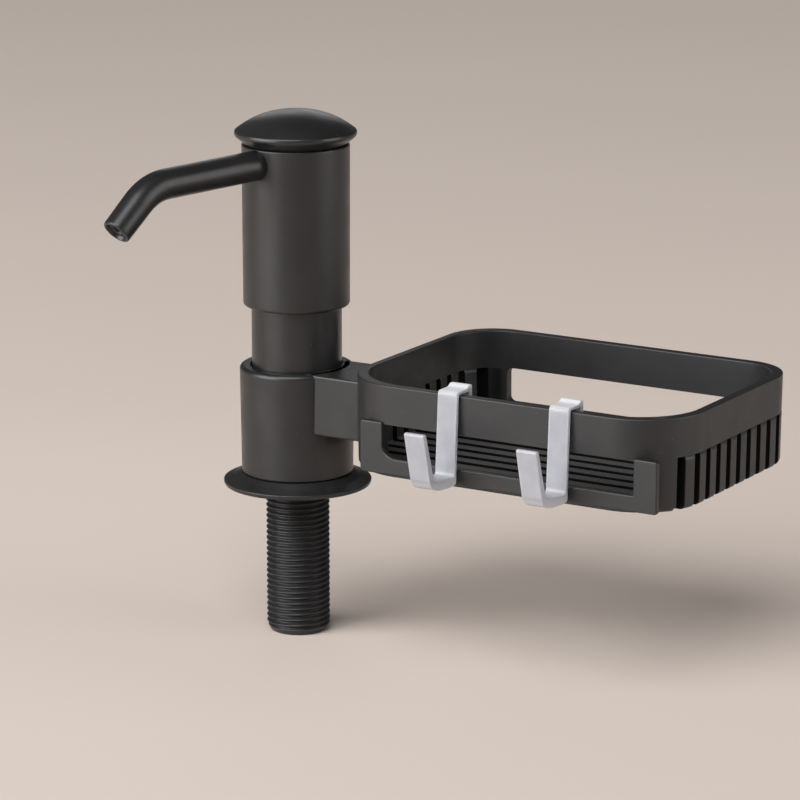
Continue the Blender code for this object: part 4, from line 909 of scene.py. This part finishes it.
def hook_outline():
    """Closed (y, z) outline of a hook seen from its side, with an arc at every corner.

    Corners are (ahead of the basket's front, above its rim, radius): the lip inside the
    rim with its bead, the bridge, the strip's face, the V, the leg, the foot's
    underside, and the strip's back.
    """
    corners = np.array([
        (-0.00935, -0.0080, 0.0006), (-0.0088, 0.0026, 0.0008), (-0.0068, 0.0026, 0.0010),
        (-0.0050, 0.0016, 0.0030), (0.0018, 0.0016, 0.0013), (0.0036, -0.0286, 0.0009),
        (0.0174, -0.0275, 0.0018), (0.0232, -0.0089, 0.0009), (0.0254, -0.0089, 0.0009),
        (0.0209, -0.0266, 0.0030), (0.0190, -0.0296, 0.0030), (0.0145, -0.0314, 0.0060),
        (0.0063, -0.0320, 0.0060), (0.0021, -0.0319, 0.0014), (0.0003, 0.0003, 0.0003),
        (-0.0067, 0.0003, 0.0010), (-0.0075, -0.0080, 0.0006)])
    return rounded(np.stack([BASKET_FRONT - corners[:, 0], BASKET_TOP + corners[:, 1]], axis=-1),
                   corners[:, 2], 6, 0.0003)


def hook_surface(outline, edge=0.00040):
    """Grid of a hook about x = 0: its outline carried across the width, edges rounded.

    Round each edge the outline moves in by edge * (1 - sin(a)) while x moves by
    edge * (1 - cos(a)).
    """
    ahead = np.roll(outline, -1, axis=0) - np.roll(outline, 1, axis=0)
    ahead = ahead / np.linalg.norm(ahead, axis=1, keepdims=True)
    side = np.stack([-ahead[:, 1], ahead[:, 0]], axis=-1)
    area = np.sum(outline[:, 0] * np.roll(outline[:, 1], -1)
                  - np.roll(outline[:, 0], -1) * outline[:, 1])
    inward = side if area > 0 else -side
    turn = np.linspace(0.0, math.pi / 2.0, 5)
    half_move = edge * (1 - np.sin(turn))
    half_place = edge * (1 - np.cos(turn)) - HOOK_HALF
    run = np.linspace(half_place[-1], -half_place[-1], 12)[1:-1]
    inset = np.concatenate([half_move, np.zeros(len(run)), half_move[::-1]])
    place = np.concatenate([half_place, run, -half_place[::-1]])
    loops = outline + inward * inset[:, None, None]
    return np.stack([np.broadcast_to(place[:, None], loops.shape[:2]), loops[..., 0],
                     loops[..., 1]], axis=-1)


def frosted_clear(name):
    """Frosted polycarbonate: light comes through blurred by a fine matt skin.

    Faint cloudiness varies the blur. Painted light makes edges and corners, the thick
    foot, the bend over the rim and a little of the leg whiter and less clear.
    """
    finish, place = new_finish(name)
    point = place["Object"]
    where = split(finish, point)
    cloud = noise(finish, point, 180.0, 5.0)
    edges = add(finish, "NewGeometry")["Pointiness"]
    # painted light: edges, foot, bend over the rim and leg are made whiter and less clear
    painted_light_white = spread(finish, edges, 0.505, 0.53, 0.0, 0.32)
    for part in (spread(finish, where["Z"], 0.0195, 0.0215, 0.38, 0.0),
                 spread(finish, where["Z"], 0.0185, 0.0193, 0.5, 0.0),
                 spread(finish, where["Z"], 0.0470, 0.0486, 0.0, 0.32),
                 spread(finish, where["Z"], 0.0490, 0.0497, 0.0, 0.85),
                 spread(finish, where["Y"], BASKET_FRONT - 0.0175, BASKET_FRONT - 0.0150,
                        0.11, 0.0)):
        painted_light_white = combined(finish, "MAXIMUM", painted_light_white, part)
    tint = ramp(finish, cloud, (0.58, 0.60, 0.66), (0.69, 0.70, 0.75), 0.30, 0.72)
    shade(finish, {
        "Base Color": mixed(finish, painted_light_white, tint, (0.78, 0.78, 0.80, 1.0)),
        "Transmission Weight": spread(finish, painted_light_white, 0.0, 1.0, 0.62, 0.12),
        "Roughness": spread(finish, cloud, 0.0, 1.0, 0.36, 0.50),
        "Normal": lifted(finish, noise(finish, point, 600.0, 1.0), 0.04, 0.00008),
        "IOR": 1.50})
    return finish


hook_finish = frosted_clear("frosted_polycarbonate")
hook_grid = hook_surface(hook_outline())
for name in ("hook_left", "hook_right"):
    centre = (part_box(name)[0][0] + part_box(name)[1][0]) / 2.0
    hook = skin(name + "_clip", [(hook_grid + [centre, 0.0, 0.0], "flat", True)], hook_finish)
    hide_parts(name)
    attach(hook, "left_hook" if name == "hook_left" else "right_hook")

# ------------------------------------------------------------------ floor and light
# A plain pale floor at the shank's foot that runs out of view, a large low soft lamp
# to the front left, one to the right, a small one behind the cap and a soft sky.
def pale_ground(name, colour):
    """Matt paint with a barely visible mottle."""
    finish, place = new_finish(name)
    mottle = noise(finish, place["Object"], 3.0, 2.0)
    shade(finish, {"Base Color": ramp(finish, mottle, [0.97 * part for part in colour], colour),
                   "Roughness": 0.9})
    return finish


FLOOR_REACH = 6.0
FLOOR_HEIGHT = SHANK_BOTTOM - 0.0002
corners = [(x * FLOOR_REACH, y * FLOOR_REACH, FLOOR_HEIGHT)
           for x, y in ((-1, -1), (1, -1), (1, 1), (-1, 1))]
floor_mesh = bpy.data.meshes.new("floor")
floor_mesh.from_pydata(corners, [], [(0, 1, 2, 3)])
floor_mesh.materials.append(pale_ground("pale_floor", (0.65, 0.56, 0.50)))
floor = bpy.data.objects.new("floor", floor_mesh)
bpy.context.scene.collection.objects.link(floor)


def soft_lamp(name, place, aim, size, power):
    """A rectangular area lamp at a place, turned to face a point."""
    lamp = bpy.data.objects.new(name, bpy.data.lights.new(name, "AREA"))
    lamp.data.shape = "RECTANGLE"
    lamp.data.size, lamp.data.size_y = size
    lamp.data.energy = power
    lamp.location = place
    turn = np.asarray(aim) - np.asarray(place)
    lamp.rotation_euler = (math.atan2(math.hypot(turn[0], turn[1]), -turn[2]), 0.0,
                           math.atan2(turn[1], turn[0]) - math.pi / 2.0)
    bpy.context.scene.collection.objects.link(lamp)


CENTRE = (0.05, 0.0, 0.05)
soft_lamp("key_lamp", (-0.99, -1.68, 0.67), CENTRE, (1.8, 1.8), 61.0)
soft_lamp("side_lamp", (1.95, 0.48, 0.55), CENTRE, (1.4, 1.6), 19.0)

soft_lamp("back_lamp", (-0.155, 0.257, 0.235), (0.0, 0.0, 0.137), (0.16, 0.14), 0.07)

sky = bpy.data.objects.new("sky_lamp", bpy.data.lights.new("sky_lamp", "SUN"))
sky.data.energy = 1.9
sky.data.angle = math.radians(40.0)
sky.rotation_euler = (math.radians(38.0), 0.0, math.radians(10.0))
bpy.context.scene.collection.objects.link(sky)

world = bpy.data.worlds.new("surround")
world.use_nodes = True
world.node_tree.nodes["Background"].inputs["Color"].default_value = (1.0, 0.985, 0.97, 1.0)
world.node_tree.nodes["Background"].inputs["Strength"].default_value = 0.06
bpy.context.scene.world = world
bpy.context.scene.view_settings.view_transform = "Standard"
